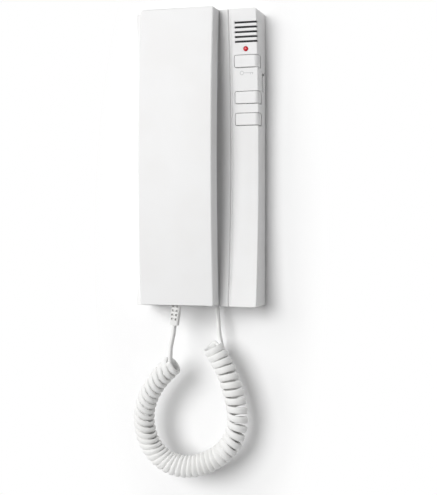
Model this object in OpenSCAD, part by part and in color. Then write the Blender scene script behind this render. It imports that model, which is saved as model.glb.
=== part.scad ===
// Door-entry wall telephone: a slim wall base with a bowed handset hung on it.
// Millimetres. +X to the right, +Y into the wall, +Z up. The wall is the plane y = 0,
// and the origin is the middle of the face that lies on it. Depths are measured from
// the wall towards the room, so a depth d is at y = -d.

/* [Base] */
// Width of the base
base_w = 92; // [86:0.5:110]
// Height of the base
base_h = 215; // [205:1:240]
// Depth of the base at its top and bottom ends
base_d = 27.3; // [26:0.1:32]
// How far the front is dished in halfway up
base_dish = 6.9; // [5:0.1:7.5]
// Wall thickness of the front cover
skin = 2.2; // [1.8:0.1:2.6]
// Radius of the base's four outline corners
outline_r = 1.5; // [0.5:0.1:3]
// Radius along the long front edges of the cover
edge_r = 0.8; // [0.3:0.1:1.2]
// How far the cover's rim stands off the wall
rim_gap = 1.2; // [0:0.1:1.2]

/* [Cradle and button strip] */
// Width of the strip that carries the buttons
strip_w = 20.4; // [20:0.1:22]
// How far the cradle floor lies below the strip
floor_drop = 0.8; // [0.3:0.1:1.5]
// Width of the groove between cradle and strip
groove_w = 1.3; // [0.8:0.1:2]
// Depth of the groove below the cradle floor
groove_d = 1.3; // [0.5:0.1:1.6]
// Radius of the strip's rounded left lip
lip_r = 2.6; // [1:0.1:3]
// Depth of the two cradle pockets below the base's ends
pocket_depth = 9.3; // [8.3:0.1:10.3]
// Thickness of the pocket floors
pocket_skin = 2; // [1.5:0.1:2.4]
// Clearance round the handset's ear and mouth caps in their pockets
pocket_clear = 1.5; // [0.8:0.1:2.5]
// Diameter of the four rubber rests
rest_d = 8; // [6:0.5:10]
// How deep the rests are let into the cradle floor
rest_let_in = 1; // [0.5:0.1:1.4]
// Distance from the base's top and bottom to the rests
rest_in = 9.5; // [8.5:0.5:11.5]

/* [Wall plate] */
// Thickness of the wall plate
plate_t = 3; // [2.5:0.1:4]
// Gap between the wall plate's edge and the cover
plate_gap = 0.5; // [0.3:0.1:0.8]
// Distance between the wall screws, across
screw_pitch_x = 60; // [56:0.5:62]
// Distance between the wall screws, up
screw_pitch_z = 83.5; // [80:0.5:88]
// Diameter of the wall screw holes
screw_hole_d = 4.5; // [3.5:0.1:5.5]
// Width of the cable entry
entry_w = 24; // [16:1:26]
// Height of the cable entry
entry_h = 36; // [20:1:40]

/* [Call slots and lamp] */
// Number of slots over the call speaker
slot_count = 5; // [3:1:6]
// Height of one slot
slot_h = 1.4; // [1:0.1:1.8]
// Distance between slots
slot_pitch = 3.4; // [3:0.1:3.8]
// Distance from the top of the base down to the middle slot
slot_down = 16.7; // [16:0.1:18.5]
// Distance from the strip's left lip to the slots' left ends
slot_in = 3.8; // [3:0.1:6]
// How far the slots run round the right front edge
slot_wrap = 2.8; // [2.7:0.1:3.5]
// Diameter of the call lamp's window
lamp_d = 3.5; // [2:0.1:4]
// Distance from the top of the base down to the lamp
lamp_down = 28.7; // [28:0.1:29.5]
// Distance of the lamp from the base's right side
lamp_in = 8.7; // [8:0.1:10]
// How far the lamp's dome stands out
lamp_proud = 0.5; // [0.2:0.1:1]

/* [Buttons] */
// Height of one button
button_h = 8.6; // [8:0.1:9.6]
// Distances from the top of the base down to the three buttons
button_down = [37.5, 63.5, 79.2];
// Distance from the strip's left lip to the buttons' left ends
button_in = 3.1; // [3:0.1:6]
// How far the buttons stand out of the strip
button_proud = 0.6; // [0.3:0.1:1]
// How far the buttons stand out of the side
button_side_proud = 0.2; // [0.1:0.1:0.4]
// Radius where a button turns round the corner
button_turn = 3; // [2:0.1:4]
// How far a button runs back along the side
button_back = 7.2; // [5:0.1:7.8]
// Wall thickness of a button
button_skin = 1.8; // [1.4:0.1:2.2]
// Travel of a button
button_travel = 1.2; // [0.8:0.1:1.4]
// Gap round a button
button_gap = 0.35; // [0.25:0.05:0.5]
// Gap behind the end of a button's side leg, past its travel
button_stop_gap = 0.9; // [0.5:0.1:1.2]
// Diameter of a button's stem
stem_d = 4; // [3:0.1:5]

/* [Volume slider] */
// Length of the slider's window, up
window_h = 13.6; // [12:0.1:14]
// Width of the slider's window, along the depth
window_w = 6.2; // [5:0.1:6.6]
// Depth from the wall of the window's middle
window_d = 7.7; // [7.4:0.1:8]
// Distance from the top of the base down to the window's middle
window_down = 51.5; // [50.5:0.1:52.5]
// Travel of the slider
slider_travel = 1.6; // [1:0.1:2.4]
// How far the slider stands out of the side
slider_proud = 0.5; // [0.2:0.1:1]
// Gap round the slider
slider_gap = 0.3; // [0.2:0.05:0.4]

/* [Handset] */
// Width of the handset
handset_w = 55.6; // [50:0.1:58]
// Height of the handset
handset_h = 213.8; // [205:0.1:238]
// Thickness of the handset, without its caps
handset_t = 13.4; // [12.8:0.1:15]
// How far the handset's front stands before the base's, at their ends
handset_rise = 13.7; // [13.3:0.1:16.7]
// How far the handset bows out halfway up
handset_bow = 5; // [4:0.1:7]
// Distance from the base's left side to the handset
handset_in = 8.5; // [7:0.1:9]
// Wall thickness of the handset's shells
shell = 2; // [1.6:0.1:2.4]
// Gap between the back shell and the front shell's walls
shell_gap = 0.2; // [0.1:0.05:0.3]
// Radius of the handset's long front edges
handset_edge_r = 1.2; // [0.5:0.1:2]
// Diameter of the ear cap
ear_d = 44; // [40:0.5:46]
// Diameter of the mouth cap
mouth_d = 34; // [30:0.5:38]
// Distance of each cap's centre from its end of the handset
cap_in = 32.9; // [31:0.1:35]
// Gap between a cap's face and the floor of its pocket
cap_gap = 0.6; // [0.4:0.1:1]
// Radius round a cap's face
cap_r = 2; // [1:0.1:2.5]

/* [Electrical parts] */
// Diameter of the receiver capsule
receiver_d = 36; // [30:0.5:37]
// Diameter of the microphone
mic_d = 9.7; // [6:0.1:10]
// Diameter of the call speaker
speaker_d = 24; // [20:0.5:24]
// Thickness of the call speaker
speaker_t = 5; // [3:0.1:6]
// Distance from the base's right side to the middle of the speaker
speaker_in = 17.4; // [17:0.1:18]
// Depth from the wall of the circuit board's back
board_back = 8; // [7.6:0.1:8.2]
// Thickness of the circuit board
board_t = 1.6; // [1:0.1:1.8]
// Diameter of the hook plunger
plunger_d = 4; // [3:0.1:5]
// Width of a key switch
key_body = 6; // [5:0.1:6.4]
// Height of a key switch on the board
key_body_t = 3.5; // [3:0.1:3.8]
// Diameter of a key switch's pin
key_pin_d = 3.4; // [3:0.1:3.6]
// Length of a key switch's pin
key_pin_len = 2.6; // [2.2:0.1:2.8]
// Length of the ballast bar
ballast_len = 70; // [50:1:74]
// Width of the ballast bar
ballast_w = 12; // [8:0.5:16]
// Thickness of the ballast bar
ballast_t = 5; // [3:0.1:5.4]

/* [Curly cord] */
// Width of the flat cord
cord_w = 4.9; // [4:0.1:5]
// Thickness of the flat cord
cord_t = 2.4; // [1.8:0.1:2.5]
// Outer diameter of the curls
curl_d = 15; // [14:0.1:16]
// Whole curls, to which half a curl is added
curls = 44; // [20:1:46]
// Least space kept between curls along their axis
curl_gap = 0.6; // [0.5:0.05:0.7]
// Length of the strain relief below the handset
relief_h = 14.8; // [12:0.1:15]
// Width of the strain relief at the handset
relief_w = 6.8; // [6.6:0.1:8]

/* [Hidden] */
$fn = 64;

WHITE = "whitesmoke";
INNER = "gainsboro";
CORD = "oldlace";
far = 400;            // longer than any cut has to be
eps = 0.01;
arc_fn = 720;         // facets of the two large curves, in previews
cut = 1;              // how far a cut runs past the surface it opens
seat = 0.3;           // gap left between a piece and its seat on another body
slide_clear = 0.15;   // gap round a round pin in its hole
fit_clear = 0.05;     // gap round a part pressed into its hole
press_clear = 0.2;    // left between a pressed button's stem and its switch

// --- derived from the base ---
side = base_w / 2;
half_h = base_h / 2;
dish_r = (half_h * half_h + base_dish * base_dish) / (2 * base_dish);
mid_d = base_d - base_dish;
lip_x = side - strip_w;
inner_x = side - skin;
inner_z = half_h - skin;
groove_floor = floor_drop + groove_d;
pocket_floor = base_d - pocket_depth;
rest_z = half_h - rest_in;
slot_z = half_h - slot_down;
lamp_z = half_h - lamp_down;
button_z = [for (down = button_down) half_h - down];
window_z = half_h - window_down;

// depth of the strip's front at a height
function strip_d(z) = mid_d + dish_r - sqrt(dish_r * dish_r - z * z);
function floor_d(z) = strip_d(z) - floor_drop;

// --- derived from the handset ---
handset_x = -side + handset_in + handset_w / 2;
handset_z = half_h - handset_h / 2;
handset_half = handset_h / 2;
handset_front_d = base_d + handset_rise;
bow_r = (handset_half * handset_half + handset_bow * handset_bow) / (2 * handset_bow);
bow_d = handset_front_d + handset_bow;
// depth of a surface inside the handset, "under" its front, at a height
function bow_depth(z, under) =
    bow_d - bow_r + sqrt(pow(bow_r - under, 2) - pow(z - handset_z, 2));
cap_face = pocket_floor + cap_gap;
ear_z = handset_z + handset_half - cap_in;
mouth_z = handset_z - handset_half + cap_in;

// --- derived from the electrical parts ---
board_front = board_back + board_t;
key_in = 8;             // from the base's right side to the middle of a key switch
board_left = -2;
board_in = 3;           // from the base's right side to the board
board_top_in = 7.5;     // from the base's top to the board
board_below = 30;       // from the base's middle down to the board's lower end
board_screw_in = 4;     // from the board's edges to its screws
speaker_below = 4.3;    // from the strip's surface down to the speaker's front
plunger_out = 13.7;     // from the ear cap's middle to the plunger, to the right
plunger_down = 10.6;    // and down
plunger_flange_d = 7;
plunger_flange_t = 1;
cover_screw_x = -20;
cover_screw_d = 8.5;
key_x = side - key_in;
key_pin_top = board_front + key_body_t + button_travel + press_clear;
board_x = [board_left, side - board_in];
board_z = [-board_below, half_h - board_top_in];
board_screw_at = [for (x = board_x + board_screw_in * [1, -1], z = board_z + board_screw_in * [1, -1])
    [x, z]];
lamp_x = side - lamp_in;
speaker_x = side - speaker_in;
speaker_z = slot_z;
speaker_front = strip_d(slot_z) - speaker_below;
plunger_x = handset_x + plunger_out;
plunger_z = ear_z - plunger_down;

// --- derived from the cord ---
curl_r = (curl_d - cord_t) / 2;
half_w = cord_w / 2;
half_t = cord_t / 2;

// Where the cord leaves the strain relief and the base, and the way the relief leans
relief_left = 2.1;      // of the handset's middle
relief_below = 7;       // from the handset's front at its ends down to the relief
relief_lean = 7;        // degrees
relief_top = [handset_x - relief_left, relief_below - handset_front_d, handset_z - handset_half];
relief_way = [-sin(relief_lean), 0, -cos(relief_lean)];
relief_end = relief_top + relief_h * relief_way;
outlet_x = 12.8;
outlet_d = 13;
outlet = [outlet_x, -outlet_d, -half_h];

// Route of the straight cord from the strain relief to the coil. Its last stretch keeps one
// depth, so that it slides off the coil's end face when the handset is lifted.
route_handset = [
    [0, 0, 0], 4.8 * relief_way, [-0.9, -0.7, -8], [-1.1, -1.7, -10.5], [-1.3, -2.8, -13],
    [-1.5, -3.7, -15.6], [-1.6, -4, -18], [-1.8, -4, -21.6]];
// Route of the straight cord from the base to the coil
route_base = [
    [0, 0, 0], [0, 0, -4.8], [0.3, -0.3, -8], [0.7, -0.8, -11.2], [1.2, -1.4, -14.5],
    [1.7, -2, -18], [2.3, -2.5, -22], [3.3, -2.9, -26]];
// Points that the coil's axis runs through, from its handset end to its base end
route_coil = [
    [-14.8, -33, -149.4], [-20.4, -33, -155], [-27, -32.5, -162], [-34, -32, -173],
    [-38, -31.5, -186], [-37.2, -31, -199], [-33, -30.5, -210], [-26, -30, -218],
    [-17.4, -29.5, -223], [-8, -29, -224.6], [1.4, -28.5, -223.6], [10, -28, -220.4],
    [17.6, -27.5, -216], [24, -27, -210], [28.8, -26.5, -202.6], [31.2, -26, -194],
    [31.4, -25.5, -185], [30, -25, -176], [27.4, -24.5, -167.4], [23.4, -24, -156.4],
    [17.8, -23.5, -146], [11.8, -23.2, -137]];
// Relative distance between curls, against the share of the curls from the handset end
curl_pitch = [[0, 4.6], [0.08, 4.8], [0.26, 4.8], [0.42, 3.8], [0.62, 3.9], [0.72, 5.3],
    [0.8, 6], [0.9, 5.7], [0.96, 5.4], [1, 4.6]];

// How far the rings slant towards the inside of the loop, and how far their fronts dip,
// in degrees, against the same share
curl_slant = [[0, 16], [0.1, 18], [0.28, 26], [0.36, 18], [0.45, 6], [0.6, 0], [0.75, 4], [1, 0]];
curl_dip = [[0, 8], [0.28, 14], [0.4, 8], [0.6, 4], [0.75, -8], [0.92, -4], [1, -14]];

// ---------------------------------------------------------------- small helpers

// The range within a distance of a middle
function span(middle, half) = [middle - half, middle + half];

// The range that starts at a place and has a thickness
function slab(from, thick) = [from, from + thick];

// A flat shape in (x, z), as a slab between two depths
module forward(d0, d1)
    translate([0, -d0, 0]) rotate([90, 0, 0]) linear_extrude(d1 - d0) children();

// A flat shape in (depth, z), as a slab between two x
module sideways(x0, x1)
    multmatrix([[0, 0, -1, x1], [-1, 0, 0, 0], [0, 1, 0, 0]])
        linear_extrude(x1 - x0) children();

// A box given by its ranges of x, depth and z
module block(x, d, z)
    translate([x[0], -d[1], z[0]]) cube([x[1] - x[0], d[1] - d[0], z[1] - z[0]]);

// A disc or ring across the depth
module disc(x, z, r, d0, d1)
    translate([x, -d0, z]) rotate([90, 0, 0]) cylinder(r = r, h = d1 - d0);

// A rectangle with round corners, given by its ranges
module round_rect(x, y, r) {
    for (i = [0, 1], j = [0, 1])
        translate([x[i] + (i == 0 ? r : -r), y[j] + (j == 0 ? r : -r)]) circle(r = r);
    translate([x[0] + r, y[0]]) square([x[1] - x[0] - 2 * r, y[1] - y[0]]);
    translate([x[0], y[0] + r]) square([x[1] - x[0], y[1] - y[0] - 2 * r]);
}

// The same with corner circles a hair too large, trimmed, so that no two edges only just touch
module trimmed_rect(x, y, r)
    intersection() {
        translate([x[0], y[0]]) square([x[1] - x[0], y[1] - y[0]]);
        union() {
            for (i = [0, 1], j = [0, 1])
                translate([x[i] + (i == 0 ? r : -r), y[j] + (j == 0 ? r : -r)])
                    circle(r = r + eps);
            translate([x[0] + r, y[0] - 1]) square([x[1] - x[0] - 2 * r, y[1] - y[0] + 2]);
            translate([x[0] - 1, y[0] + r]) square([x[1] - x[0] + 2, y[1] - y[0] - 2 * r]);
        }
    }

// A block that starts at "front", between two x, with its two front corners rounded
module round_front(front, x, r_left, r_right, deep) {
    r = max(r_left, r_right);
    translate([front + r_left, x[0] + r_left]) circle(r = r_left);
    translate([front + r_right, x[1] - r_right]) circle(r = r_right);
    translate([front, x[0] + r_left]) square([deep, x[1] - x[0] - r_left - r_right]);
    translate([front + r_left, x[0]]) square([deep - r_left, r_left + eps]);
    translate([front + r_right, x[1] - r_right - eps])
        square([deep - r_right, r_right + eps]);
}

// A plan section in (radius, x), swept along the dished front. Radius dish_r is the
// strip's surface, and a larger radius lies nearer the wall.
module dished()
    translate([0, -mid_d - dish_r, 0])
        multmatrix([[0, 0, 1, 0], [1, 0, 0, 0], [0, 1, 0, 0]])
            rotate([0, 0, -dish_sweep / 2])
                rotate_extrude(angle = dish_sweep, $fn = arc_fn) children();
dish_sweep = 2 * asin(half_h / dish_r) + 2;

// A plan section in (radius, x), swept along the handset's bow. Radius bow_r is its
// front, and a smaller radius lies nearer the wall.
module bowed()
    translate([0, bow_r - bow_d, handset_z])
        multmatrix([[0, 0, 1, 0], [-1, 0, 0, 0], [0, -1, 0, 0]])
            rotate([0, 0, -bow_sweep / 2])
                rotate_extrude(angle = bow_sweep, $fn = arc_fn) children();
bow_sweep = 2 * asin(handset_half / (bow_r - 2 * handset_t)) + 1;

// ---------------------------------------------------------------- base

module cover_outside()
    intersection() {
        dished() {
            round_front(dish_r + floor_drop, [-side, lip_x - groove_w], edge_r, edge_r, base_d * 2);
            round_front(dish_r, [lip_x, side], lip_r, edge_r, base_d * 2);
            translate([dish_r + groove_floor, -side]) square([base_d * 2, base_w]);
        }
        forward(rim_gap, base_d + cut)
            round_rect([-side, side], [-half_h, half_h], outline_r);
    }

module cover_inside()
    intersection() {
        dished() {
            translate([dish_r + floor_drop + skin, -inner_x])
                square([base_d * 2, inner_x + lip_x + skin]);
            translate([dish_r + skin, lip_x + skin])
                square([base_d * 2, inner_x - lip_x - skin]);
        }
        block([-inner_x, inner_x], [-cut, base_d], [-inner_z, inner_z]);
    }

ear_pocket_r = ear_d / 2 + pocket_clear;
mouth_pocket_r = mouth_d / 2 + pocket_clear;
pocket_back = pocket_floor - pocket_skin;
button_x = [lip_x + button_in, side + button_side_proud];
button_slot_back = button_back + button_travel + button_stop_gap;
guide_wall = 1.2;
speaker_clear = 0.3;
speaker_ledge = 1;
bead = 1.5;             // that the wall plate's lugs catch
lug_h = 4;
lug_w = 10;
lug_t = 2.2;
lug_clear = 0.3;
lug_x = [-26, 18];
block_clear = 0.5;      // round the wall plate's screw block
block_h = 10;
block_w = 9;
block_t = 8.7;
cover_nut = 10;         // width of the screw's seat in the cover
cover_head_d = 6;
cover_hole_d = 3.4;
slot_r = slot_h * 0.4;
window_r = 0.8;

module cover_slots()
    for (i = [0 : slot_count - 1]) {
        z = slot_z + (i - (slot_count - 1) / 2) * slot_pitch;
        sideways(lip_x + slot_in, side + cut)
            round_rect([strip_d(z) - slot_wrap, base_d + 2 * cut], span(z, slot_h / 2), slot_r);
    }

module cover_button_windows()
    for (z = button_z)
        sideways(button_x[0] - button_gap, side + cut)
            round_rect([strip_d(z) - button_slot_back, base_d + 2 * cut],
                span(z, button_h / 2 + button_gap), button_gap * 3);

module base_cover() color(WHITE)
    difference() {
        union() {
            difference() {
                cover_outside();
                cover_inside();
            }
            // the two pockets that take the handset's caps
            intersection() {
                union() {
                    disc(handset_x, ear_z, ear_pocket_r + skin, pocket_back, base_d);
                    disc(handset_x, mouth_z, mouth_pocket_r + skin, pocket_back, base_d);
                }
                cover_outside();
            }
            // collar that holds the call speaker
            intersection() {
                disc(speaker_x, speaker_z, speaker_d / 2 + speaker_clear + guide_wall,
                    speaker_front - speaker_t, base_d);
                cover_outside();
            }
            // seat of the cover screw, and the bead that the wall plate's lugs catch
            block(span(cover_screw_x, cover_nut / 2), slab(plate_t + block_clear, block_h),
                [-inner_z - eps, -inner_z + skin]);
            block([-inner_x - eps, inner_x + eps], slab(plate_t + lug_h + lug_clear, bead),
                [inner_z - bead, inner_z + eps]);
        }
        disc(handset_x, ear_z, ear_pocket_r, pocket_floor, far);
        disc(handset_x, mouth_z, mouth_pocket_r, pocket_floor, far);
        disc(speaker_x, speaker_z, speaker_d / 2 + speaker_clear, 0, speaker_front);
        intersection() {
            cover_inside();
            disc(speaker_x, speaker_z, speaker_d / 2 - speaker_ledge, 0, base_d);
        }
        disc(plunger_x, plunger_z, plunger_d / 2 + slide_clear, 0, base_d);
        disc(lamp_x, lamp_z, lamp_d / 2 + 2 * fit_clear, 0, far);
        for (x = [-1, 1], z = [-1, 1])
            disc(handset_x + x * rest_x, z * rest_z, rest_d / 2 + fit_clear,
                floor_d(rest_z) - rest_let_in, far);
        cover_slots();
        cover_button_windows();
        sideways(inner_x - cut, side + cut)
            round_rect(span(window_d, window_w / 2), span(window_z, window_h / 2), window_r);
        // way out of the cord, and the countersunk hole of the cover screw
        translate(outlet - [0, 0, cut])
            cylinder(r = grommet_r + 2 * fit_clear, h = skin + 2 * cut);
        translate([cover_screw_x, -cover_screw_d, -half_h - cut])
            cylinder(d = cover_hole_d, h = 2 * skin + 2 * cut);
        translate([cover_screw_x, -cover_screw_d, -half_h - cut])
            cylinder(d = cover_head_d, h = screw_head_h + screw_sunk + cut);
    }

rest_side_in = 7.5;     // from the handset's sides to the rests
rest_x = handset_w / 2 - rest_side_in;
grommet_r = 4.4;
grommet_flange = 1.5;
screw_head_h = 1.7;     // of the self-tapping screws
screw_head_d = 5.5;
screw_d = 2.5;
screw_sunk = 0.2;

module rest_pads() color("dimgray")
    for (x = [-1, 1], z = [-1, 1])
        disc(handset_x + x * rest_x, z * rest_z, rest_d / 2,
            floor_d(rest_z) - rest_let_in,
            bow_depth(z * (rest_z + rest_d / 2), handset_t) - seat);

entry_x = -20;
entry_r = 2;
boss_d = 6;
pilot_d = 2.6;
board_pilot_d = 2.5;
board_hole_d = 2.8;
board_shank_d = 2.4;
board_head_d = 4.8;
board_shank = 5;
board_head_h = 1.5;

module wall_plate() color(INNER)
    difference() {
        union() {
            forward(0, plate_t)
                round_rect(span(0, inner_x - plate_gap), span(0, inner_z - plate_gap), outline_r);
            for (at = board_screw_at)
                disc(at[0], at[1], boss_d / 2, plate_t - eps, board_back);
            // block that the cover screw goes into
            block(span(cover_screw_x, block_w / 2), [plate_t - eps, plate_t + block_h],
                slab(-inner_z + skin + lug_clear / 3, block_t));
            // lugs that hook behind the cover's bead
            for (x = lug_x)
                block(span(x, lug_w / 2), [plate_t - eps, plate_t + lug_h],
                    [inner_z - plate_gap - lug_t, inner_z - plate_gap]);
        }
        for (x = [-1, 1], z = [-1, 1])
            disc(x * screw_pitch_x / 2, z * screw_pitch_z / 2, screw_hole_d / 2, -cut, plate_t + cut);
        forward(-cut, plate_t + cut)
            round_rect(span(entry_x, entry_w / 2), span(0, entry_h / 2), entry_r);
        for (at = board_screw_at)
            disc(at[0], at[1], board_pilot_d / 2, cut, board_back + cut);
        translate([cover_screw_x, -cover_screw_d, -inner_z + cut])
            cylinder(d = pilot_d, h = block_t + skin - 2 * cut);
    }

driver_d = 8;

module circuit_board() color("darkgreen")
    difference() {
        block(board_x, [board_back, board_front], board_z);
        // notch beside the slider, and the way in for a wall screw's driver
        block([window_switch_x[1], far], [0, far], span(window_z, window_h / 2 + cut));
        disc(screw_pitch_x / 2, screw_pitch_z / 2, driver_d / 2, 0, far);
        for (at = board_screw_at)
            disc(at[0], at[1], board_hole_d / 2, 0, far);
    }

module board_screws() color("silver")
    for (at = board_screw_at) {
        disc(at[0], at[1], board_shank_d / 2, board_back - board_shank, board_front + eps);
        disc(at[0], at[1], board_head_d / 2, board_front, board_front + board_head_h);
    }

cover_screw_len = 10;

module cover_screw() color("silver")
    translate([cover_screw_x, -cover_screw_d, -half_h + screw_sunk]) {
        cylinder(d = screw_head_d, h = screw_head_h);
        cylinder(d = screw_d, h = screw_head_h + cover_screw_len);
    }

// Screw terminals for the wires from the wall
terminal_count = 5;
terminal_pitch = 5;
terminal_in = 13;       // from the base's right side to the terminals
terminal_z = [-20, -11];
terminal_clear = 0.4;   // under the cradle's floor
terminal_top = mid_d - floor_drop - skin - terminal_clear;
terminal_screw_d = 3.2;
terminal_screw_z = -14.5;
terminal_mouth = [2.8, 3, 3];

module terminal_block() color("seagreen") {
    left = side - terminal_in - terminal_count * terminal_pitch;
    difference() {
        block([left, side - terminal_in], [board_front, terminal_top], terminal_z);
        for (i = [0 : terminal_count - 1]) {
            x = left + (i + 0.5) * terminal_pitch;
            disc(x, terminal_screw_z, terminal_screw_d / 2, board_front + cut + terminal_mouth[1], far);
            block(span(x, terminal_mouth[0] / 2), slab(board_front + cut, terminal_mouth[1]),
                [terminal_z[0] - cut, terminal_z[0] + terminal_mouth[2]]);
        }
    }
}

// ---------------------------------------------------------------- buttons

key_floor = 0.7;

module key_switches() color("dimgray")
    for (z = button_z)
        difference() {
            block(span(key_x, key_body / 2), slab(board_front, key_body_t), span(z, key_body / 2));
            disc(key_x, z, key_pin_d / 2 + slide_clear, board_front + key_floor, far);
        }

// The small plunger of a key switch, which travels with its button
module key_pin(z) color("black")
    disc(key_x, z, key_pin_d / 2, key_pin_top - key_pin_len, key_pin_top);

button_r = 0.6;         // of a button's corners
button_lip = 1.4;       // that keeps the button in, under the cover's front
button_lip_root = 1.6;
button_lip_h = 6;
button_lip_t = 1.1;

module button(z) color(WHITE) {
    difference() {
        intersection() {
            dished()
                round_front(dish_r - button_proud, button_x, button_r, button_turn, base_d);
            sideways(button_x[0] - cut, button_x[1] + cut)
                round_rect([strip_d(z) - button_back, base_d + 2 * cut], span(z, button_h / 2), button_r);
        }
        dished()
            translate([dish_r - button_proud + button_skin, button_x[0] - cut])
                square([base_d, button_x[1] - button_skin - button_x[0] + cut]);
    }
    difference() {
        block([button_x[0] - button_lip, button_x[0] + button_lip_root],
            [strip_d(z) - skin - 2 * button_lip_t, strip_d(z) - button_skin + button_proud + eps],
            span(z, button_lip_h / 2));
        block([button_x[0] - far, button_x[0] + eps], [strip_d(z) - skin - button_lip_t, far],
            span(z, far));
    }
    disc(key_x, z, stem_d / 2, key_pin_top, strip_d(z) + button_proud - button_skin + press_clear);
}

module upper_button() button(button_z[0]);
module middle_button() button(button_z[1]);
module lower_button() button(button_z[2]);
module upper_key_pin() key_pin(button_z[0]);
module middle_key_pin() key_pin(button_z[1]);
module lower_key_pin() key_pin(button_z[2]);

// ---------------------------------------------------------------- lamp and speaker

led_t = 1.1;
led_w = 3;
led_clear = 0.2;

module call_led() color("lightyellow")
    block(span(lamp_x, led_w / 2), slab(board_front, led_t), span(lamp_z, led_w / 2));

module light_guide() color("red")
    translate([lamp_x, -board_front - led_t - led_clear, lamp_z]) rotate([90, 0, 0]) {
        h = strip_d(lamp_z) - board_front - led_t - led_clear;
        rotate_extrude() {
            square([lamp_d / 2, h]);
            intersection() {
                translate([0, h + lamp_proud - dome_r]) circle(r = dome_r);
                translate([0, h - eps]) square([lamp_d / 2, lamp_proud + cut]);
            }
        }
    }
dome_r = (lamp_d * lamp_d / 4 + lamp_proud * lamp_proud) / (2 * lamp_proud);

speaker_rim = 3;
speaker_rim_t = 1.2;
speaker_magnet_d = 12;
gauze_t = 0.3;
gauze_clear = 0.05;

module call_speaker() color("slategray") {
    front = speaker_front - gauze_t - 2 * gauze_clear;
    middle = front - speaker_rim_t - (speaker_t - speaker_rim_t) / 2;
    disc(speaker_x, speaker_z, speaker_d / 2, front - speaker_rim_t, front);
    disc(speaker_x, speaker_z, speaker_d / 2 - speaker_rim, middle, front - speaker_rim_t + eps);
    disc(speaker_x, speaker_z, speaker_magnet_d / 2, speaker_front - speaker_t, middle + eps);
}

module speaker_gauze() color("black")
    disc(speaker_x, speaker_z, speaker_d / 2, speaker_front - gauze_clear - gauze_t,
        speaker_front - gauze_clear);

// ---------------------------------------------------------------- hook switch

hook_body_t = 1.6;
hook_body = [7, 8];

module hook_switch() color("dimgray")
    block(span(plunger_x, hook_body[0] / 2), slab(board_front, hook_body_t),
        span(plunger_z, hook_body[1] / 2));

module hook_plunger() color("white") {
    back = board_front + hook_body_t + seat;
    disc(plunger_x, plunger_z, plunger_d / 2, back + plunger_flange_t - eps, cap_face - seat);
    disc(plunger_x, plunger_z, plunger_flange_d / 2, back, back + plunger_flange_t);
}

// ---------------------------------------------------------------- volume slider

window_switch_w = 5.8;
window_switch_h = 12;
window_switch_t = 4;
window_switch_in = 7.2; // from the base's right side to the switch
window_switch_x = slab(side - window_switch_in - window_switch_w, window_switch_w);
slider_flange_t = 1.2;
slider_flange_over = 0.6;
slider_arm_in = 3;
slider_arm_d = [0.6, 2.4];
slider_r = 0.6;

module volume_switch() color("dimgray")
    block(window_switch_x, slab(board_front, window_switch_t), span(window_z, window_switch_h / 2));

module volume_slider() color(WHITE) {
    z0 = window_z - window_h / 2 + slider_gap;
    z1 = window_z + window_h / 2 - slider_gap - slider_travel;
    half = window_w / 2;
    sideways(inner_x - cut, side + slider_proud)
        round_rect(span(window_d, half - slider_gap), [z0, z1], slider_r);
    // flange behind the side wall, and the arm that works the switch
    block([inner_x - slider_gap - slider_flange_t, inner_x - slider_gap],
        [window_d - half - slider_flange_over, window_d + half + 2 * slider_flange_over],
        [z0 - cut, z1 + cut]);
    block([window_switch_x[1] + 2 * press_clear, inner_x - slider_gap - slider_flange_t + fit_clear],
        [board_front + slider_arm_d[0], board_front + slider_arm_d[1]],
        [z0 + slider_arm_in, z1 - slider_arm_in]);
}

// ---------------------------------------------------------------- handset

handset_side = [handset_x - handset_w / 2, handset_x + handset_w / 2];
handset_end = [handset_z - handset_half, handset_z + handset_half];
screw_share = 0.42;     // of the handset's half height, out to its screws
screw_z = screw_share * handset_half;
screw_seat = 1.8;       // of the back shell, under a screw's head
screw_grip = 8;
screw_boss_d = 7;
screw_well_d = 10;
screw_hole_w = 3.2;
screw_boss_lift = 3.9;
relief_neck = [relief_w, 5];
screw_boss_top = bow_depth(handset_z + screw_z, handset_t) + screw_boss_lift;

module handset_outside()
    intersection() {
        bowed() {
            translate([bow_r - handset_t, handset_side[0]])
                square([handset_t - handset_edge_r, handset_w]);
            translate([bow_r - handset_t, handset_side[0] + handset_edge_r])
                square([handset_t, handset_w - 2 * handset_edge_r]);
            for (x = [handset_side[0] + handset_edge_r, handset_side[1] - handset_edge_r])
                translate([bow_r - handset_edge_r, x]) circle(r = handset_edge_r);
        }
        forward(0, bow_d + cut) trimmed_rect(handset_side, handset_end, outline_r);
    }

module handset_inside(gap)
    intersection() {
        bowed()
            translate([bow_r - handset_t - cut, handset_side[0] + shell + gap])
                square([handset_t - shell + cut, handset_w - 2 * shell - 2 * gap]);
        block(handset_side + [shell + gap, -shell - gap], [0, bow_d + cut],
            handset_end + [shell + gap, -shell - gap]);
    }

module handset_front() color(WHITE)
    difference() {
        union() {
            difference() {
                handset_outside();
                handset_inside(0);
            }
            for (z = [-screw_z, screw_z])
                disc(handset_x, handset_z + z, screw_boss_d / 2, screw_boss_top + press_clear,
                    bow_depth(handset_z + screw_z, shell) + skin / 4);
        }
        for (z = [-screw_z, screw_z])
            disc(handset_x, handset_z + z, pilot_d / 2, 0, screw_boss_top + screw_grip + skin / 4);
        // way out of the cord at the bottom
        block(span(relief_top[0], relief_neck[0] / 2 + press_clear),
            span(-relief_top[1], relief_neck[1] / 2 + press_clear), span(handset_end[0], shell + cut));
    }

// A hollow round cap on the handset's back, with its edge rounded, open to the front
module cap_outside(z, r)
    translate([handset_x, -cap_face, z]) rotate([90, 0, 0])
        rotate_extrude() {
            square([r - cap_r, cap_depth]);
            translate([0, cap_r]) square([r, cap_depth - cap_r]);
            translate([r - cap_r, cap_r]) circle(r = cap_r);
        }
cap_depth = bow_depth(0, handset_t) - cap_face;

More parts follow.
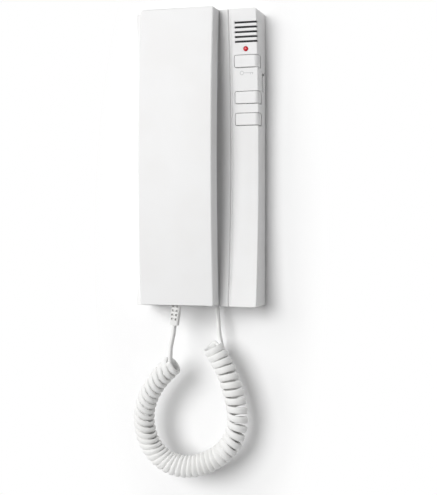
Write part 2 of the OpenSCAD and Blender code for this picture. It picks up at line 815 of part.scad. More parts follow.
module sound_holes(z, ring_r, n, r) {
    disc(handset_x, z, r, 0, cap_face + shell + cut);
    for (i = [0 : n - 1])
        disc(handset_x + ring_r * cos(i * 360 / n), z + ring_r * sin(i * 360 / n), r, 0,
            cap_face + shell + cut);
}

ear_hole_ring = 6;
mouth_hole_ring = 3;
ear_hole_d = 2;
mouth_hole_d = 1.6;
holes_round_ear = 6;
holes_round_mouth = 3;
rib_h = 16;
rib_t = 2;
rib_share = 0.36;       // of the bar's length, out to its ribs

module handset_back() color(WHITE)
    difference() {
        union() {
            // curved back plate that closes the front shell
            difference() {
                handset_inside(shell_gap);
                bowed()
                    translate([bow_r - handset_t + shell, handset_side[0]])
                        square([handset_t, handset_w]);
                bowed()
                    translate([bow_r - 2 * handset_t, handset_side[0]])
                        square([handset_t, handset_w]);
            }
            difference() {
                union() {
                    cap_outside(ear_z, ear_d / 2);
                    cap_outside(mouth_z, mouth_d / 2);
                }
                bowed()
                    translate([bow_r - handset_t + shell, handset_side[0]])
                        square([handset_t, handset_w]);
            }
            for (z = [-screw_z, screw_z])
                disc(handset_x, handset_z + z, screw_well_d / 2,
                    bow_depth(handset_z + screw_z, handset_t) + shell / 4, screw_boss_top);
            // ribs that carry the ballast bar
            for (z = [-1, 1])
                block(span(handset_x, rib_h / 2),
                    [bow_depth(handset_z, handset_t) + shell / 4, ballast_d[0]],
                    span(handset_z + z * rib_share * ballast_len, rib_t / 2));
        }
        disc(handset_x, ear_z, ear_d / 2 - shell, cap_face + shell, far);
        disc(handset_x, mouth_z, mouth_d / 2 - shell, cap_face + shell, far);
        sound_holes(ear_z, ear_hole_ring, holes_round_ear, ear_hole_d / 2);
        sound_holes(mouth_z, mouth_hole_ring, holes_round_mouth, mouth_hole_d / 2);
        for (z = [-screw_z, screw_z]) {
            disc(handset_x, handset_z + z, screw_hole_w / 2, 0, far);
            disc(handset_x, handset_z + z, cover_head_d / 2, 0, screw_boss_top - screw_seat);
        }
    }

seal_t = 1.2;
seal_w = 4;
receiver_rim = 5;
receiver_rim_t = 5.7;
receiver_t = 8.7;
mic_t = 6;
boot_wall = 3;
boot_floor = 0.5;
boot_hole_d = 8;
ballast_lift = 1.4;
capsule_seat = cap_face + shell;

module receiver() color("darkslategray") {
    disc(handset_x, ear_z, receiver_d / 2, capsule_seat + seal_t + 2 * fit_clear,
        capsule_seat + seal_t + receiver_rim_t);
    disc(handset_x, ear_z, receiver_d / 2 - receiver_rim, capsule_seat + seal_t + receiver_rim_t - eps,
        capsule_seat + seal_t + receiver_t);
}

module receiver_seal() color("black")
    difference() {
        disc(handset_x, ear_z, receiver_d / 2 - boot_floor, capsule_seat, capsule_seat + seal_t);
        disc(handset_x, ear_z, receiver_d / 2 - boot_floor - seal_w, 0, far);
    }

module microphone() color("silver")
    disc(handset_x, mouth_z, mic_d / 2, capsule_seat + boot_floor + 2 * fit_clear,
        capsule_seat + boot_floor + 2 * fit_clear + mic_t);

module microphone_boot() color("black")
    difference() {
        disc(handset_x, mouth_z, mic_d / 2 + boot_wall, capsule_seat,
            capsule_seat + 2 * boot_floor + mic_t + boot_floor);
        disc(handset_x, mouth_z, mic_d / 2 + fit_clear, capsule_seat + boot_floor, far);
        disc(handset_x, mouth_z, boot_hole_d / 2, 0, far);
    }

ballast_d = slab(bow_depth(handset_z, handset_t) + shell + ballast_lift, ballast_t);

module ballast_bar() color("gray")
    block(span(handset_x, ballast_w / 2), ballast_d, span(handset_z, ballast_len / 2));

module handset_screws() color("silver")
    for (z = [-screw_z, screw_z]) {
        disc(handset_x, handset_z + z, screw_head_d / 2, screw_boss_top - screw_seat - screw_head_h,
            screw_boss_top - screw_seat);
        disc(handset_x, handset_z + z, screw_d / 2, screw_boss_top - screw_seat - press_clear,
            screw_boss_top + screw_grip);
    }

// ---------------------------------------------------------------- cord fittings

relief_slots = 4;
relief_slot_pitch = 3.1;
relief_slot_h = 1.5;
relief_web = 1.6;
relief_taper = 0.9;
relief_r = 1.2;
relief_collar = 1.8;    // solid length before the first slot
relief_flange = [3, 2, 2];

// Bending strain relief: rings joined by a flat web, on a neck with an inner flange
module strain_relief() color(CORD) {
    translate(relief_top) {
        translate([-relief_neck[0] / 2, -relief_neck[1] / 2, -eps])
            cube([relief_neck[0], relief_neck[1], shell + press_clear + eps]);
        translate([-(relief_neck[0] + relief_flange[0]) / 2, -(relief_neck[1] + relief_flange[1]) / 2,
            shell + press_clear])
            cube([relief_neck[0] + relief_flange[0], relief_neck[1] + relief_flange[1], relief_flange[2]]);
        intersection() {
            rotate([0, relief_lean, 0])
                difference() {
                    translate([0, 0, -relief_h])
                        linear_extrude(relief_h + relief_r)
                            round_rect(span(0, relief_neck[0] / 2 * relief_taper),
                                span(0, relief_neck[1] / 2), relief_r);
                    for (i = [0 : relief_slots - 1], s = [-1, 1])
                        translate([s * (relief_w + relief_web) / 2 - relief_w / 2, -relief_neck[1],
                            -relief_collar - i * relief_slot_pitch])
                            cube([relief_w, 2 * relief_neck[1], relief_slot_h]);
                }
            translate([-far / 2, -far / 2, -far]) cube([far, far, far]);
        }
    }
}

module cord_grommet() color("dimgray") {
    translate(outlet) cylinder(r = grommet_r, h = skin);
    translate(outlet + [0, 0, skin]) cylinder(r = grommet_r + grommet_flange, h = grommet_flange);
}

// ---------------------------------------------------------------- cord

function unit(v) = v / norm(v);
function near(v, w) = unit(v - (v * w) * w);
function mix(a, b, t) = a + t * (b - a);
function sum_to(v, n) = n <= 0 ? [0] : let (s = sum_to(v, n - 1)) concat(s, [s[n - 1] + v[n - 1]]);

// Rings of points, one after another, as a closed tube of triangles
module tube(rings) {
    n = len(rings[0]);
    last = len(rings) - 1;
    polyhedron(
        points = [for (r = rings, p = r) p],
        faces = [
            for (i = [0 : last - 1], j = [0 : n - 1], k = [0, 1])
                let (a = i * n + j, b = i * n + (j + 1) % n)
                    k == 0 ? [a, b, b + n] : [a, b + n, a + n],
            for (j = [1 : n - 2]) [0, j + 1, j],
            for (j = [1 : n - 2]) [last * n, last * n + j, last * n + j + 1]],
        convexity = 10);
}

// An oval ring of n points about p: w is its wide direction and t its thin one
function oval(p, w, t, n, a, b) = [for (j = [0 : n - 1])
    p + a * cos(360 * j / n) * w + b * sin(360 * j / n) * t];

function direction(path, i) =
    unit(path[min(i + 1, len(path) - 1)] - path[max(i - 1, 0)]);

// The straight cord hangs with its flat sides facing left and right
module tail(from, route) {
    path = [for (p = route) from + p];
    end = len(path) - 1;
    tube([for (i = [0 : end])
        let (d = i == 0 ? unit(path[1] - path[0]) : i == end ? unit(path[end] - path[end - 1])
                : direction(path, i),
            w = near([0, 1, 0], d))
            oval(path[i], w, cross(d, w), 8, half_w, half_t)]);
}

// A smooth curve through points, at a position from 0 to their last index
function spline(p, at) =
    let (n = len(p) - 1, i = min(floor(at), n - 1), t = at - i,
        a = i == 0 ? 2 * p[0] - p[1] : p[i - 1], b = p[i], c = p[i + 1],
        d = i + 2 > n ? 2 * p[n] - p[n - 1] : p[i + 2])
    0.5 * (2 * b + (c - a) * t + (2 * a - 5 * b + 4 * c - d) * t * t
        + (3 * b - a - 3 * c + d) * t * t * t);

axis_steps = 8;
axis_points = [for (i = [0 : axis_steps * (len(route_coil) - 1)])
    spline(route_coil, i / axis_steps)];
axis_along = sum_to([for (i = [1 : len(axis_points) - 1])
    norm(axis_points[i] - axis_points[i - 1])], len(axis_points) - 1);
axis_length = axis_along[len(axis_along) - 1];
axis_tables = [for (k = [0 : 2]) [for (i = [0 : len(axis_points) - 1])
    [axis_along[i], axis_points[i][k]]]];
function axis_at(s) = [for (k = [0 : 2]) lookup(s, axis_tables[k])];
axis_reach = 4;
function axis_way(s) = unit(axis_at(min(s + axis_reach, axis_length))
    - axis_at(max(s - axis_reach, 0)));

curl_rings = 8;
curl_steps = (curls + 0.5) * curl_rings;
pitch_sums = sum_to([for (i = [0 : curl_steps - 1])
    lookup((i + 0.5) / curl_steps, curl_pitch)], curl_steps);
function coil_s(i) = axis_length * pitch_sums[i] / pitch_sums[curl_steps];
function coil_bend(s) = (axis_way(min(s + axis_reach, axis_length))
    - axis_way(max(s - axis_reach, 0))) / (2 * axis_reach);

// The frame of the coil at a step: the middle of its ring, the way the ring faces, the
// direction from the middle to the cord, and the side facing into the loop. A ring leans by
// its slant, and dips its front by its dip.
function coil_frame(i) =
    let (s = coil_s(i), way = axis_way(s), inward = unit(cross(way, [0, 1, 0])),
        front = cross(way, inward), turn = 90 - 360 * i / curl_rings,
        slant = lookup(i / curl_steps, curl_slant), dip = lookup(i / curl_steps, curl_dip),
        side_way = cos(slant) * inward + sin(slant) * way,
        ring_way = cos(slant) * way - sin(slant) * inward,
        out = cos(turn) * side_way + sin(turn) * (cos(dip) * front + sin(dip) * ring_way))
    [axis_at(s), cos(dip) * ring_way - sin(dip) * front, out, side_way];
function coil_point(i) = let (f = coil_frame(i)) f[0] + curl_r * f[2];
function coil_room(i) =
    let (f = coil_frame(i), last = curl_steps - curl_rings / 2,
        j = min(max(i, curl_rings / 2), last),
        pitch = coil_s(j + curl_rings / 2) - coil_s(j - curl_rings / 2))
    pitch * (f[1] * axis_way(coil_s(i))) * (1 - curl_r * (coil_bend(coil_s(i)) * f[2]));
// How far the flat cord leans, so that a curl fits in the room that it has
function coil_lean(i) =
    let (h = min(half_w, max(half_t, (coil_room(i) - curl_gap) / 2)))
    asin(sqrt((half_w * half_w - h * h) / (half_w * half_w - half_t * half_t)));

function coil_ring(i) =
    let (f = coil_frame(i), p = coil_point(i),
        d = unit(coil_point(min(i + 1, curl_steps)) - coil_point(max(i - 1, 0))),
        w0 = near(f[1], d), t0 = cross(d, w0), lean = coil_lean(i))
    oval(p, cos(lean) * w0 + sin(lean) * t0, cos(lean) * t0 - sin(lean) * w0, 6, half_w, half_t);

// The lead from the end of a straight cord into the first or last curl
lead_steps = 4;
lead_size = [8.9, 9.5];
function lead_curve(p, v, q, u, t) =
    let (a = 2 * t * t * t - 3 * t * t + 1, b = t * t * t - 2 * t * t + t,
        c = 3 * t * t - 2 * t * t * t, d = t * t * t - t * t)
    a * p + b * v + c * q + d * u;
function lead_rings(p, v, w_start, q, u, w_end, size) =
    [for (k = [0 : lead_steps])
        let (t = k / (lead_steps + 1), at = lead_curve(p, v * size, q, u * size, t),
            d = k == 0 ? v : unit(lead_curve(p, v * size, q, u * size, t + 0.05)
                - lead_curve(p, v * size, q, u * size, t - 0.05)),
            w = near(mix(w_start, w_end, t), d))
        oval(at, w, cross(d, w), 6, half_w, half_t)];

module cord_coil() color(CORD) {
    start = relief_end + route_handset[len(route_handset) - 1];
    start_way = unit(route_handset[len(route_handset) - 1] - route_handset[len(route_handset) - 2]);
    finish = outlet + route_base[len(route_base) - 1];
    finish_way = unit(route_base[len(route_base) - 1] - route_base[len(route_base) - 2]);
    first = coil_frame(0);
    final = coil_frame(curl_steps);
    lead_in = lead_rings(start + cord_w * start_way, start_way, near([0, 1, 0], start_way),
        coil_point(0), unit(coil_point(1) - coil_point(0)), first[1], lead_size[0]);
    lead_out = lead_rings(finish + cord_w * finish_way, finish_way, near([0, 1, 0], finish_way),
        coil_point(curl_steps), -unit(coil_point(curl_steps) - coil_point(curl_steps - 1)),
        -final[1], lead_size[1]);
    w_in = near([0, 1, 0], start_way);
    w_out = near([0, 1, 0], finish_way);
    rings = concat(
        [oval(start, w_in, cross(start_way, w_in), 6, half_w, half_t)],
        lead_in,
        [for (i = [0 : curl_steps]) coil_ring(i)],
        [for (k = [lead_steps : -1 : 0]) flipped(lead_out[k])],
        [flipped(oval(finish, w_out, cross(finish_way, w_out), 6, half_w, half_t))]);
    tube(rings);
    echo(least_gap = least_gap(rings));
}

// A ring seen from its other side, so that its points run the other way round
function flipped(ring) = [for (j = [0 : len(ring) - 1]) ring[(len(ring) - j + 3) % len(ring)]];

// The least distance between the surfaces of neighbouring curls, on points along their rims
function rim(r) = let (n = len(r))
    [for (j = [0 : n - 1], t = [0, 1 / 3, 2 / 3]) mix(r[j], r[(j + 1) % n], t)];
function least_gap(rings) =
    let (rims = [for (r = rings) rim(r)], n = len(rings))
    min([for (i = [0 : n - 1])
        for (j = [i + curl_rings - 2 : 1 : min(i + curl_rings + lead_steps, n - 1)])
            for (p = rims[i], q = rims[j]) norm(p - q)]);

module cord_tail_handset() color(CORD) tail(relief_end, route_handset);
module cord_tail_base() color(CORD) tail(outlet, route_base);

// ---------------------------------------------------------------- output

wall_plate();
base_cover();
rest_pads();
circuit_board();
board_screws();
cover_screw();
terminal_block();
key_switches();
upper_button();
middle_button();
lower_button();
upper_key_pin();
middle_key_pin();
lower_key_pin();
call_led();
light_guide();
call_speaker();
speaker_gauze();
hook_switch();
hook_plunger();
volume_switch();
volume_slider();
cord_grommet();
handset_front();
handset_back();
receiver();
receiver_seal();
microphone();
microphone_boot();
ballast_bar();
handset_screws();
strain_relief();
cord_tail_handset();
cord_coil();
cord_tail_base();
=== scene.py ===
import math

import bmesh
import bpy
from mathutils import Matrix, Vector


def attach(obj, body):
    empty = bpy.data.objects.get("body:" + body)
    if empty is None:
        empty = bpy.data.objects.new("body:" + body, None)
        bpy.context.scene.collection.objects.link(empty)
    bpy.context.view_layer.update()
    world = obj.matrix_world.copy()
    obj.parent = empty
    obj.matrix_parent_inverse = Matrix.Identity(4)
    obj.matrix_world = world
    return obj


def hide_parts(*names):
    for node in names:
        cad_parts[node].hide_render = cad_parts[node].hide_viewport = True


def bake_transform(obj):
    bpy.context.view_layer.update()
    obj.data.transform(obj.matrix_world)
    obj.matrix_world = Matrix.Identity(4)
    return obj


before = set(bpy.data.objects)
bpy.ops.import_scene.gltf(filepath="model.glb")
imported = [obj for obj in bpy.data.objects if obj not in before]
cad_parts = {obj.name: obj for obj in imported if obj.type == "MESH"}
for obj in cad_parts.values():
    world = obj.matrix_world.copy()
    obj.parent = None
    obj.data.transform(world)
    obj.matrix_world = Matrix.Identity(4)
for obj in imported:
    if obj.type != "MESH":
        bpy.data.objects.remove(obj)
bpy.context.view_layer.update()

# ---------------------------------------------------------------- camera
# A long lens, level, a little to the right of the telephone and turned towards it, so that
# the right side wall with its buttons shows.
camera = bpy.data.objects.new("camera", bpy.data.cameras.new("camera"))
bpy.context.scene.collection.objects.link(camera)
bpy.context.scene.camera = camera
camera.location = (0.2505, -0.7886, -0.0556)
camera.rotation_euler = (math.radians(90), 0, math.radians(17))
camera.data.sensor_width = 36
camera.data.lens = 80
camera.data.shift_y = -0.02525
camera.data.clip_start = 0.02

bpy.context.scene.view_settings.view_transform = "Standard"


# ---------------------------------------------------------------- curly cord
# A flat four-wire cord in a soft pale cover, wound into curls when it was made. It hangs in
# a loop from the grommet in the base to the strain relief under the handset, and its curls
# lie over each other where the loop is tight.
MM = 0.001
CORD_WIDE = 4.9 * MM
CORD_THIN = 2.7 * MM
CURL_RADIUS = 6.3 * MM
CURLS = 44.5
CURL_OVERLAP = 0.25 * MM
CURL_NARROWER, CURL_THICKER = 0.13, 0.1
CURL_STEPS = 8
RINGS_PER_CURL = 24
LEAD_RINGS, STRAIGHT_RINGS = 16, 28
CORD_SIDES = 14
CORD_COLOUR = (0.89, 0.89, 0.88, 1)
TO_WALL = Vector((0, 1, 0))


def mm(*numbers):
    return Vector(numbers) * MM


# The cord leaves both ends square to what it meets, and its points are in millimetres.
RELIEF_X, RELIEF_DEPTH, RELIEF_Z, RELIEF_LONG = -11.8, 34, -106.3, 14.8
OUTLET_X, OUTLET_DEPTH, OUTLET_Z = 12.8, 13, -107.5
SQUARE_END = 4.8
relief_top = mm(RELIEF_X, -RELIEF_DEPTH, RELIEF_Z)
relief_lean = math.radians(7)
relief_way = Vector((-math.sin(relief_lean), 0, -math.cos(relief_lean)))
relief_end = relief_top + RELIEF_LONG * MM * relief_way
outlet = mm(OUTLET_X, -OUTLET_DEPTH, OUTLET_Z)
route_handset = [relief_end + p for p in (
    mm(0, 0, 0), SQUARE_END * MM * relief_way, mm(-0.9, -0.7, -8), mm(-1.1, -1.7, -10.5),
    mm(-1.3, -2.8, -13), mm(-1.5, -3.7, -15.6), mm(-1.6, -4, -18), mm(-1.8, -4, -21.6))]
route_base = [outlet + p for p in (
    mm(0, 0, 0), mm(0, 0, -SQUARE_END), mm(0.3, -0.3, -8), mm(0.7, -0.8, -11.2),
    mm(1.2, -1.4, -14.5), mm(1.7, -2, -18), mm(2.3, -2.5, -22), mm(3.3, -2.9, -26))]
route_coil = [mm(*p) for p in (
    (-14.8, -33, -149.4), (-20.4, -33, -155), (-27, -32.5, -162), (-34, -32, -173),
    (-38, -31.5, -186), (-37.2, -31, -199), (-33, -30.5, -210), (-26, -30, -218),
    (-17.4, -29.5, -223), (-8, -29, -224.6), (1.4, -28.5, -223.6), (10, -28, -220.4),
    (17.6, -27.5, -216), (24, -27, -210), (28.8, -26.5, -202.6), (31.2, -26, -194),
    (31.4, -25.5, -185), (30, -25, -176), (27.4, -24.5, -167.4), (23.4, -24, -156.4),
    (17.8, -23.5, -146), (11.8, -23.2, -137))]

# How the curls change from 0 at the handset to 1 at the base: their shares of the length, how
# far they slant sideways and dip forwards in degrees, and how much they narrow and thicken.
curl_pitch = [(0, 4.6), (0.08, 4.8), (0.26, 4.8), (0.42, 3.8), (0.62, 3.9), (0.72, 5.3),
              (0.8, 6), (0.9, 5.7), (0.96, 5.4), (1, 4.6)]
curl_slant = [(0, 16), (0.1, 18), (0.28, 26), (0.36, 18), (0.45, 6), (0.6, 0), (0.75, 4),
              (1, 0)]
curl_dip = [(0, 8), (0.28, 14), (0.4, 8), (0.6, 4), (0.75, -8), (0.92, -4), (1, -14)]
curl_swell = [(0, 0), (0.03, 1), (0.4, 1), (0.6, 0)]
LEAD_IN, LEAD_OUT = 8.9 * MM, 9.5 * MM      # reach of the bends into and out of the curls


def look_up(at, table):
    """The value at a place in a table of rising places, straight between its rows."""
    if at <= table[0][0]:
        return table[0][1]
    for (a, v), (b, w) in zip(table, table[1:]):
        if at <= b:
            return v + (w - v) * (at - a) / (b - a)
    return table[-1][1]


def spline(points, at):
    """A smooth curve through points, at a position from 0 to their last index."""
    i = min(int(at), len(points) - 2)
    t = at - i
    b, c = points[i], points[i + 1]
    a = points[i - 1] if i > 0 else 2 * b - c
    d = points[i + 2] if i + 2 < len(points) else 2 * c - b
    return 0.5 * (2 * b + (c - a) * t + (2 * a - 5 * b + 4 * c - d) * t ** 2
                  + (3 * b - a - 3 * c + d) * t ** 3)


def square_to(way, direction):
    return (direction - direction.dot(way) * way).normalized()


AXIS_PARTS = 8
axis = [spline(route_coil, i / AXIS_PARTS) for i in range(AXIS_PARTS * (len(route_coil) - 1) + 1)]
axis_along = [0.0]
for a, b in zip(axis, axis[1:]):
    axis_along.append(axis_along[-1] + (b - a).length)
axis_tables = [[(s, p[k]) for s, p in zip(axis_along, axis)] for k in range(3)]
AXIS_LENGTH = axis_along[-1]
AXIS_REACH = 4 * MM
steps = int(CURLS * CURL_STEPS)
pitch_sums = [0.0]
for i in range(steps):
    pitch_sums.append(pitch_sums[-1] + look_up((i + 0.5) / steps, curl_pitch))
step_table = [(i, AXIS_LENGTH * s / pitch_sums[-1]) for i, s in enumerate(pitch_sums)]


def axis_at(s):
    return Vector([look_up(s, table) for table in axis_tables])


def either_side(s):
    """Places on the axis a little further on and a little further back."""
    return min(s + AXIS_REACH, AXIS_LENGTH), max(s - AXIS_REACH, 0)


def axis_way(s):
    ahead, behind = either_side(s)
    return (axis_at(ahead) - axis_at(behind)).normalized()


def curl_frame(i):
    """The middle of the curl at a step, the way it faces, and the direction out to the cord."""
    s = look_up(i, step_table)
    way = axis_way(s)
    inward = way.cross(TO_WALL).normalized()
    front = way.cross(inward)
    slant = math.radians(look_up(i / steps, curl_slant))
    dip = math.radians(look_up(i / steps, curl_dip))
    side_way = math.cos(slant) * inward + math.sin(slant) * way
    ring_way = math.cos(slant) * way - math.sin(slant) * inward
    front_way = math.cos(dip) * front + math.sin(dip) * ring_way
    facing = math.cos(dip) * ring_way - math.sin(dip) * front
    turn = math.radians(90 - 360 * i / CURL_STEPS)
    return s, way, facing, math.cos(turn) * side_way + math.sin(turn) * front_way


def curl_point(i):
    s, way, facing, out = curl_frame(i)
    return axis_at(s) + CURL_RADIUS * out


def curl_section(i):
    """Where the cord is at a step, and the directions of its wide and its thin side."""
    s, way, facing, out = curl_frame(i)
    half = CURL_STEPS / 2
    j = min(max(i, half), steps - half)
    ahead, behind = either_side(s)
    bend = (axis_way(ahead) - axis_way(behind)) / (2 * AXIS_REACH)
    pitch = look_up(j + half, step_table) - look_up(j - half, step_table)
    room = pitch * facing.dot(way) * (1 - CURL_RADIUS * bend.dot(out))
    swell = look_up(i / steps, curl_swell)
    narrower, thicker = 1 - CURL_NARROWER * swell, 1 + CURL_THICKER * swell
    wide, thin = narrower * CORD_WIDE / 2, thicker * CORD_THIN / 2
    tall = min(wide, max(thin, (room + CURL_OVERLAP) / 2))
    lean = math.asin(math.sqrt((wide ** 2 - tall ** 2) / (wide ** 2 - thin ** 2)))
    along = (curl_point(min(i + 1, steps)) - curl_point(max(i - 1, 0))).normalized()
    w = square_to(along, facing)
    t = along.cross(w)
    return (curl_point(i), narrower * (math.cos(lean) * w + math.sin(lean) * t),
            thicker * (math.cos(lean) * t - math.sin(lean) * w))


def lead(route, end, end_way, end_wide, size):
    """Sections of the cord on its way from a straight end into its curls."""
    way = (route[-1] - route[-2]).normalized()
    start, wide = route[-1] + CORD_WIDE * way, square_to(way, TO_WALL)
    near = 0.02

    def at(t):
        return ((2 * t ** 3 - 3 * t ** 2 + 1) * start + (t ** 3 - 2 * t ** 2 + t) * size * way
                + (3 * t ** 2 - 2 * t ** 3) * end + (t ** 3 - t ** 2) * size * end_way)
    found = []
    for k in range(LEAD_RINGS):
        t = k / LEAD_RINGS
        along = way if k == 0 else (at(t + near) - at(t - near)).normalized()
        w = square_to(along, wide.lerp(end_wide, t))
        found.append((at(t), w, along.cross(w)))
    return found


def straight(route):
    """Sections along a straight end of the cord, whose flat sides face left and right."""
    found = []
    last, near = len(route) - 1, 0.2
    for k in range(STRAIGHT_RINGS + 1):
        at = last * k / STRAIGHT_RINGS
        ahead, behind = spline(route, min(at + near, last)), spline(route, max(at - near, 0))
        along = (ahead - behind).normalized()
        w = square_to(along, TO_WALL)
        found.append((spline(route, at), w, along.cross(w)))
    return found


curl_sections = [curl_section(i * CURL_STEPS / RINGS_PER_CURL)
                 for i in range(int(CURLS * RINGS_PER_CURL) + 1)]
lead_in = lead(route_handset, curl_sections[0][0], (curl_point(1) - curl_point(0)).normalized(),
               curl_sections[0][1], LEAD_IN)
lead_out = lead(route_base, curl_sections[-1][0],
                (curl_point(steps - 1) - curl_point(steps)).normalized(),
                -curl_sections[-1][1], LEAD_OUT)
base_end = [(p, -w, t) for p, w, t in reversed(straight(route_base) + lead_out)]
sections = straight(route_handset) + lead_in + curl_sections + base_end


def tube(name, places, wide, thin, sides, fullness=2.4):
    """A closed tube with a full oval section, whose sides run through all the places."""
    points, faces = [], []
    for p, w, t in places:
        for j in range(sides):
            a = 2 * math.pi * j / sides
            c, s = math.cos(a), math.sin(a)
            points.append(p + wide / 2 * math.copysign(abs(c) ** (2 / fullness), c) * w
                          + thin / 2 * math.copysign(abs(s) ** (2 / fullness), s) * t)
    for i in range(len(places) - 1):
        for j in range(sides):
            a, b = i * sides + j, i * sides + (j + 1) % sides
            faces.append((a, b, b + sides, a + sides))
    faces.append(tuple(reversed(range(sides))))
    faces.append(tuple(range(len(points) - sides, len(points))))
    mesh = bpy.data.meshes.new(name)
    mesh.from_pydata(points, [], faces)
    mesh.update()
    piece = bpy.data.objects.new(name, mesh)
    bpy.context.scene.collection.objects.link(piece)
    mesh.polygons.foreach_set("use_smooth", [True] * len(mesh.polygons))
    return piece


def feed(node, values):
    """Sets a node's sockets, each by a constant or by a link."""
    for name, value in values.items():
        if isinstance(value, Shade):
            value.tree.links.new(value.socket, node.inputs[name])
        else:
            node.inputs[name].default_value = value


class Shade:
    """A socket of a material, so that shader maths is written as plain arithmetic."""

    def __init__(self, tree, socket=None):
        self.tree, self.socket = tree, socket

    def make(self, kind, settings, inputs, output=0):
        """An output of a new node, from the node's type, its settings and its sockets."""
        node = self.tree.nodes.new("ShaderNode" + kind)
        for name, value in settings.items():
            setattr(node, name, value)
        feed(node, inputs)
        return Shade(self.tree, node.outputs[output] if node.outputs else None)

    def math(self, operation, a, b):
        return self.make("Math", {"operation": operation}, {0: a, 1: b})

    def __add__(self, other):
        return self.math("ADD", self, other)

    __radd__ = __add__

    def __sub__(self, other):
        return self.math("SUBTRACT", self, other)

    def __rsub__(self, other):
        return self.math("SUBTRACT", other, self)

    def __mul__(self, other):
        return self.math("MULTIPLY", self, other)

    __rmul__ = __mul__

    def __pow__(self, other):
        return self.math("POWER", self, other)

    def __abs__(self):
        return self.math("ABSOLUTE", self, 0)

    def larger(self, other):
        return self.math("MAXIMUM", self, other)

    def smaller(self, other):
        return self.math("MINIMUM", self, other)

    def between(self, low, high):
        """0 below low and 1 above high, with a smooth rise between them."""
        return self.make("MapRange", {"interpolation_type": "SMOOTHSTEP"},
                         {"Value": self, "From Min": low, "From Max": high})

    def mix(self, first, second):
        """The first colour where this value is 0, and the second where it is 1."""
        return self.make("Mix", {"data_type": "RGBA"}, {0: self, 6: first, 7: second}, 2)

    def parts(self, ways):
        """The parts of a place that the letters name, such as "XZ"."""
        return [self.make("SeparateXYZ", {}, {0: self}, way) for way in ways]


def main_shader(material):
    return next(n for n in material.node_tree.nodes if n.type == "BSDF_PRINCIPLED")


def finish(name):
    """A new material, its main shader, and the place on the piece in metres."""
    material = bpy.data.materials.new(name)
    material.use_nodes = True
    place = Shade(material.node_tree).make("TexCoord", {}, {}, "Object")
    return material, main_shader(material), place


def noise(place, scale, detail, roughness=0.5):
    return place.make("TexNoise", {}, {"Vector": place, "Scale": scale, "Detail": detail,
                                       "Roughness": roughness})


def bump(height, depth, strength):
    return height.make("Bump", {}, {"Height": height, "Distance": depth, "Strength": strength})


def plastic(name, colour, rough=0.4, grain=0.00004, grain_scale=2600, mottle=0.02):
    """Moulded plastic: a fine spark-eroded grain, faint warmer clouds and worn, shinier patches."""
    material, shader, place = finish(name)
    warmth = 0.01
    clouds = noise(place, 26, 4)
    patches = noise(place, 90, 5, 0.6)
    grains = noise(place, grain_scale, 2, 0.6)
    dull = tuple(c * (1 - mottle) * (1 - warmth * k / 2) for k, c in enumerate(colour[:3])) + (1,)
    feed(shader, {
        "Base Color": clouds.between(0.35, 0.7).mix(colour, dull),
        "Roughness": rough - 0.03 + 0.06 * patches.between(0.3, 0.7) + 0.05 * grains,
        "Specular IOR Level": 0.2,
        "Normal": bump(grains + 0.15 * patches, grain, 0.5),
    })
    return material


cord = tube("curly_cord", sections, CORD_WIDE, CORD_THIN, CORD_SIDES)
cord.data.materials.append(plastic("cord_cover", CORD_COLOUR, 0.5, 0.00003, 1500))
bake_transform(cord)
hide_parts("cord_tail_handset", "cord_coil", "cord_tail_base")


# ---------------------------------------------------------------- wall and lights
# A plain white wall behind the telephone, which shows nothing from its back and fades to
# pure white away from it. Two soft lamps stand at the left, and the room itself is pale.
def piece_of(name, points, faces):
    """A new object from points in metres, with its faces turned outwards."""
    mesh = bpy.data.meshes.new(name)
    mesh.from_pydata(points, [], faces)
    work = bmesh.new()
    work.from_mesh(mesh)
    bmesh.ops.recalc_face_normals(work, faces=work.faces)
    work.to_mesh(mesh)
    work.free()
    piece = bpy.data.objects.new(name, mesh)
    bpy.context.scene.collection.objects.link(piece)
    return piece


WALL = 2.0
WALL_GAP = 0.3 * MM                        # keeps the wall off the telephone's flat back
NEAR_BACK = (0.8 * MM, 1.6 * MM)           # the wall is clear to rays that start this near
# Outside an upright oval round the telephone the wall goes over into pure white.
FADE_X, FADE_Z, FADE_MIDDLE = 280, 28, -0.06
FADE_START, FADE_END = 0.9, 2.4
GLOW_LEAST = 0.02
wall = piece_of("wall", [(x, WALL_GAP, z) for x, z in (
    (-WALL, -WALL), (WALL, -WALL), (WALL, WALL), (-WALL, WALL))], [(0, 1, 2, 3)])
wall_paint = bpy.data.materials.new("wall_paint")
wall_paint.use_nodes = True
wall_paint.node_tree.nodes.clear()
wall_start = Shade(wall_paint.node_tree)
from_behind = wall_start.make("NewGeometry", {}, {}, "Backfacing")
from_plate = 1 - wall_start.make("LightPath", {}, {}, "Ray Length").between(*NEAR_BACK)
rays = ["Is Camera Ray", "Is Glossy Ray", "Is Transmission Ray"]
seen = sum(wall_start.make("LightPath", {}, {}, name) for name in rays)
lit = wall_start.make("BsdfDiffuse", {}, {"Color": (0.96, 0.96, 0.96, 1)})
glow = wall_start.make("Emission", {}, {"Color": (1, 1, 1, 1), "Strength": 1.0})
clear = wall_start.make("BsdfTransparent", {}, {})
x, z = wall_start.make("TexCoord", {}, {}, "Object").parts("XZ")
down = z - FADE_MIDDLE
away = (x * x * FADE_X + down * down * FADE_Z).between(FADE_START, FADE_END)
pure = seen * (GLOW_LEAST + (1 - GLOW_LEAST) * away)
front_look = wall_start.make("MixShader", {}, {0: pure, 1: lit, 2: glow})
wall_look = wall_start.make("MixShader", {}, {0: from_behind.larger(from_plate), 1: front_look,
                                              2: clear})
wall_start.make("OutputMaterial", {}, {"Surface": wall_look})
wall.data.materials.append(wall_paint)


LAMP_AIM = (0, 0, -0.05)


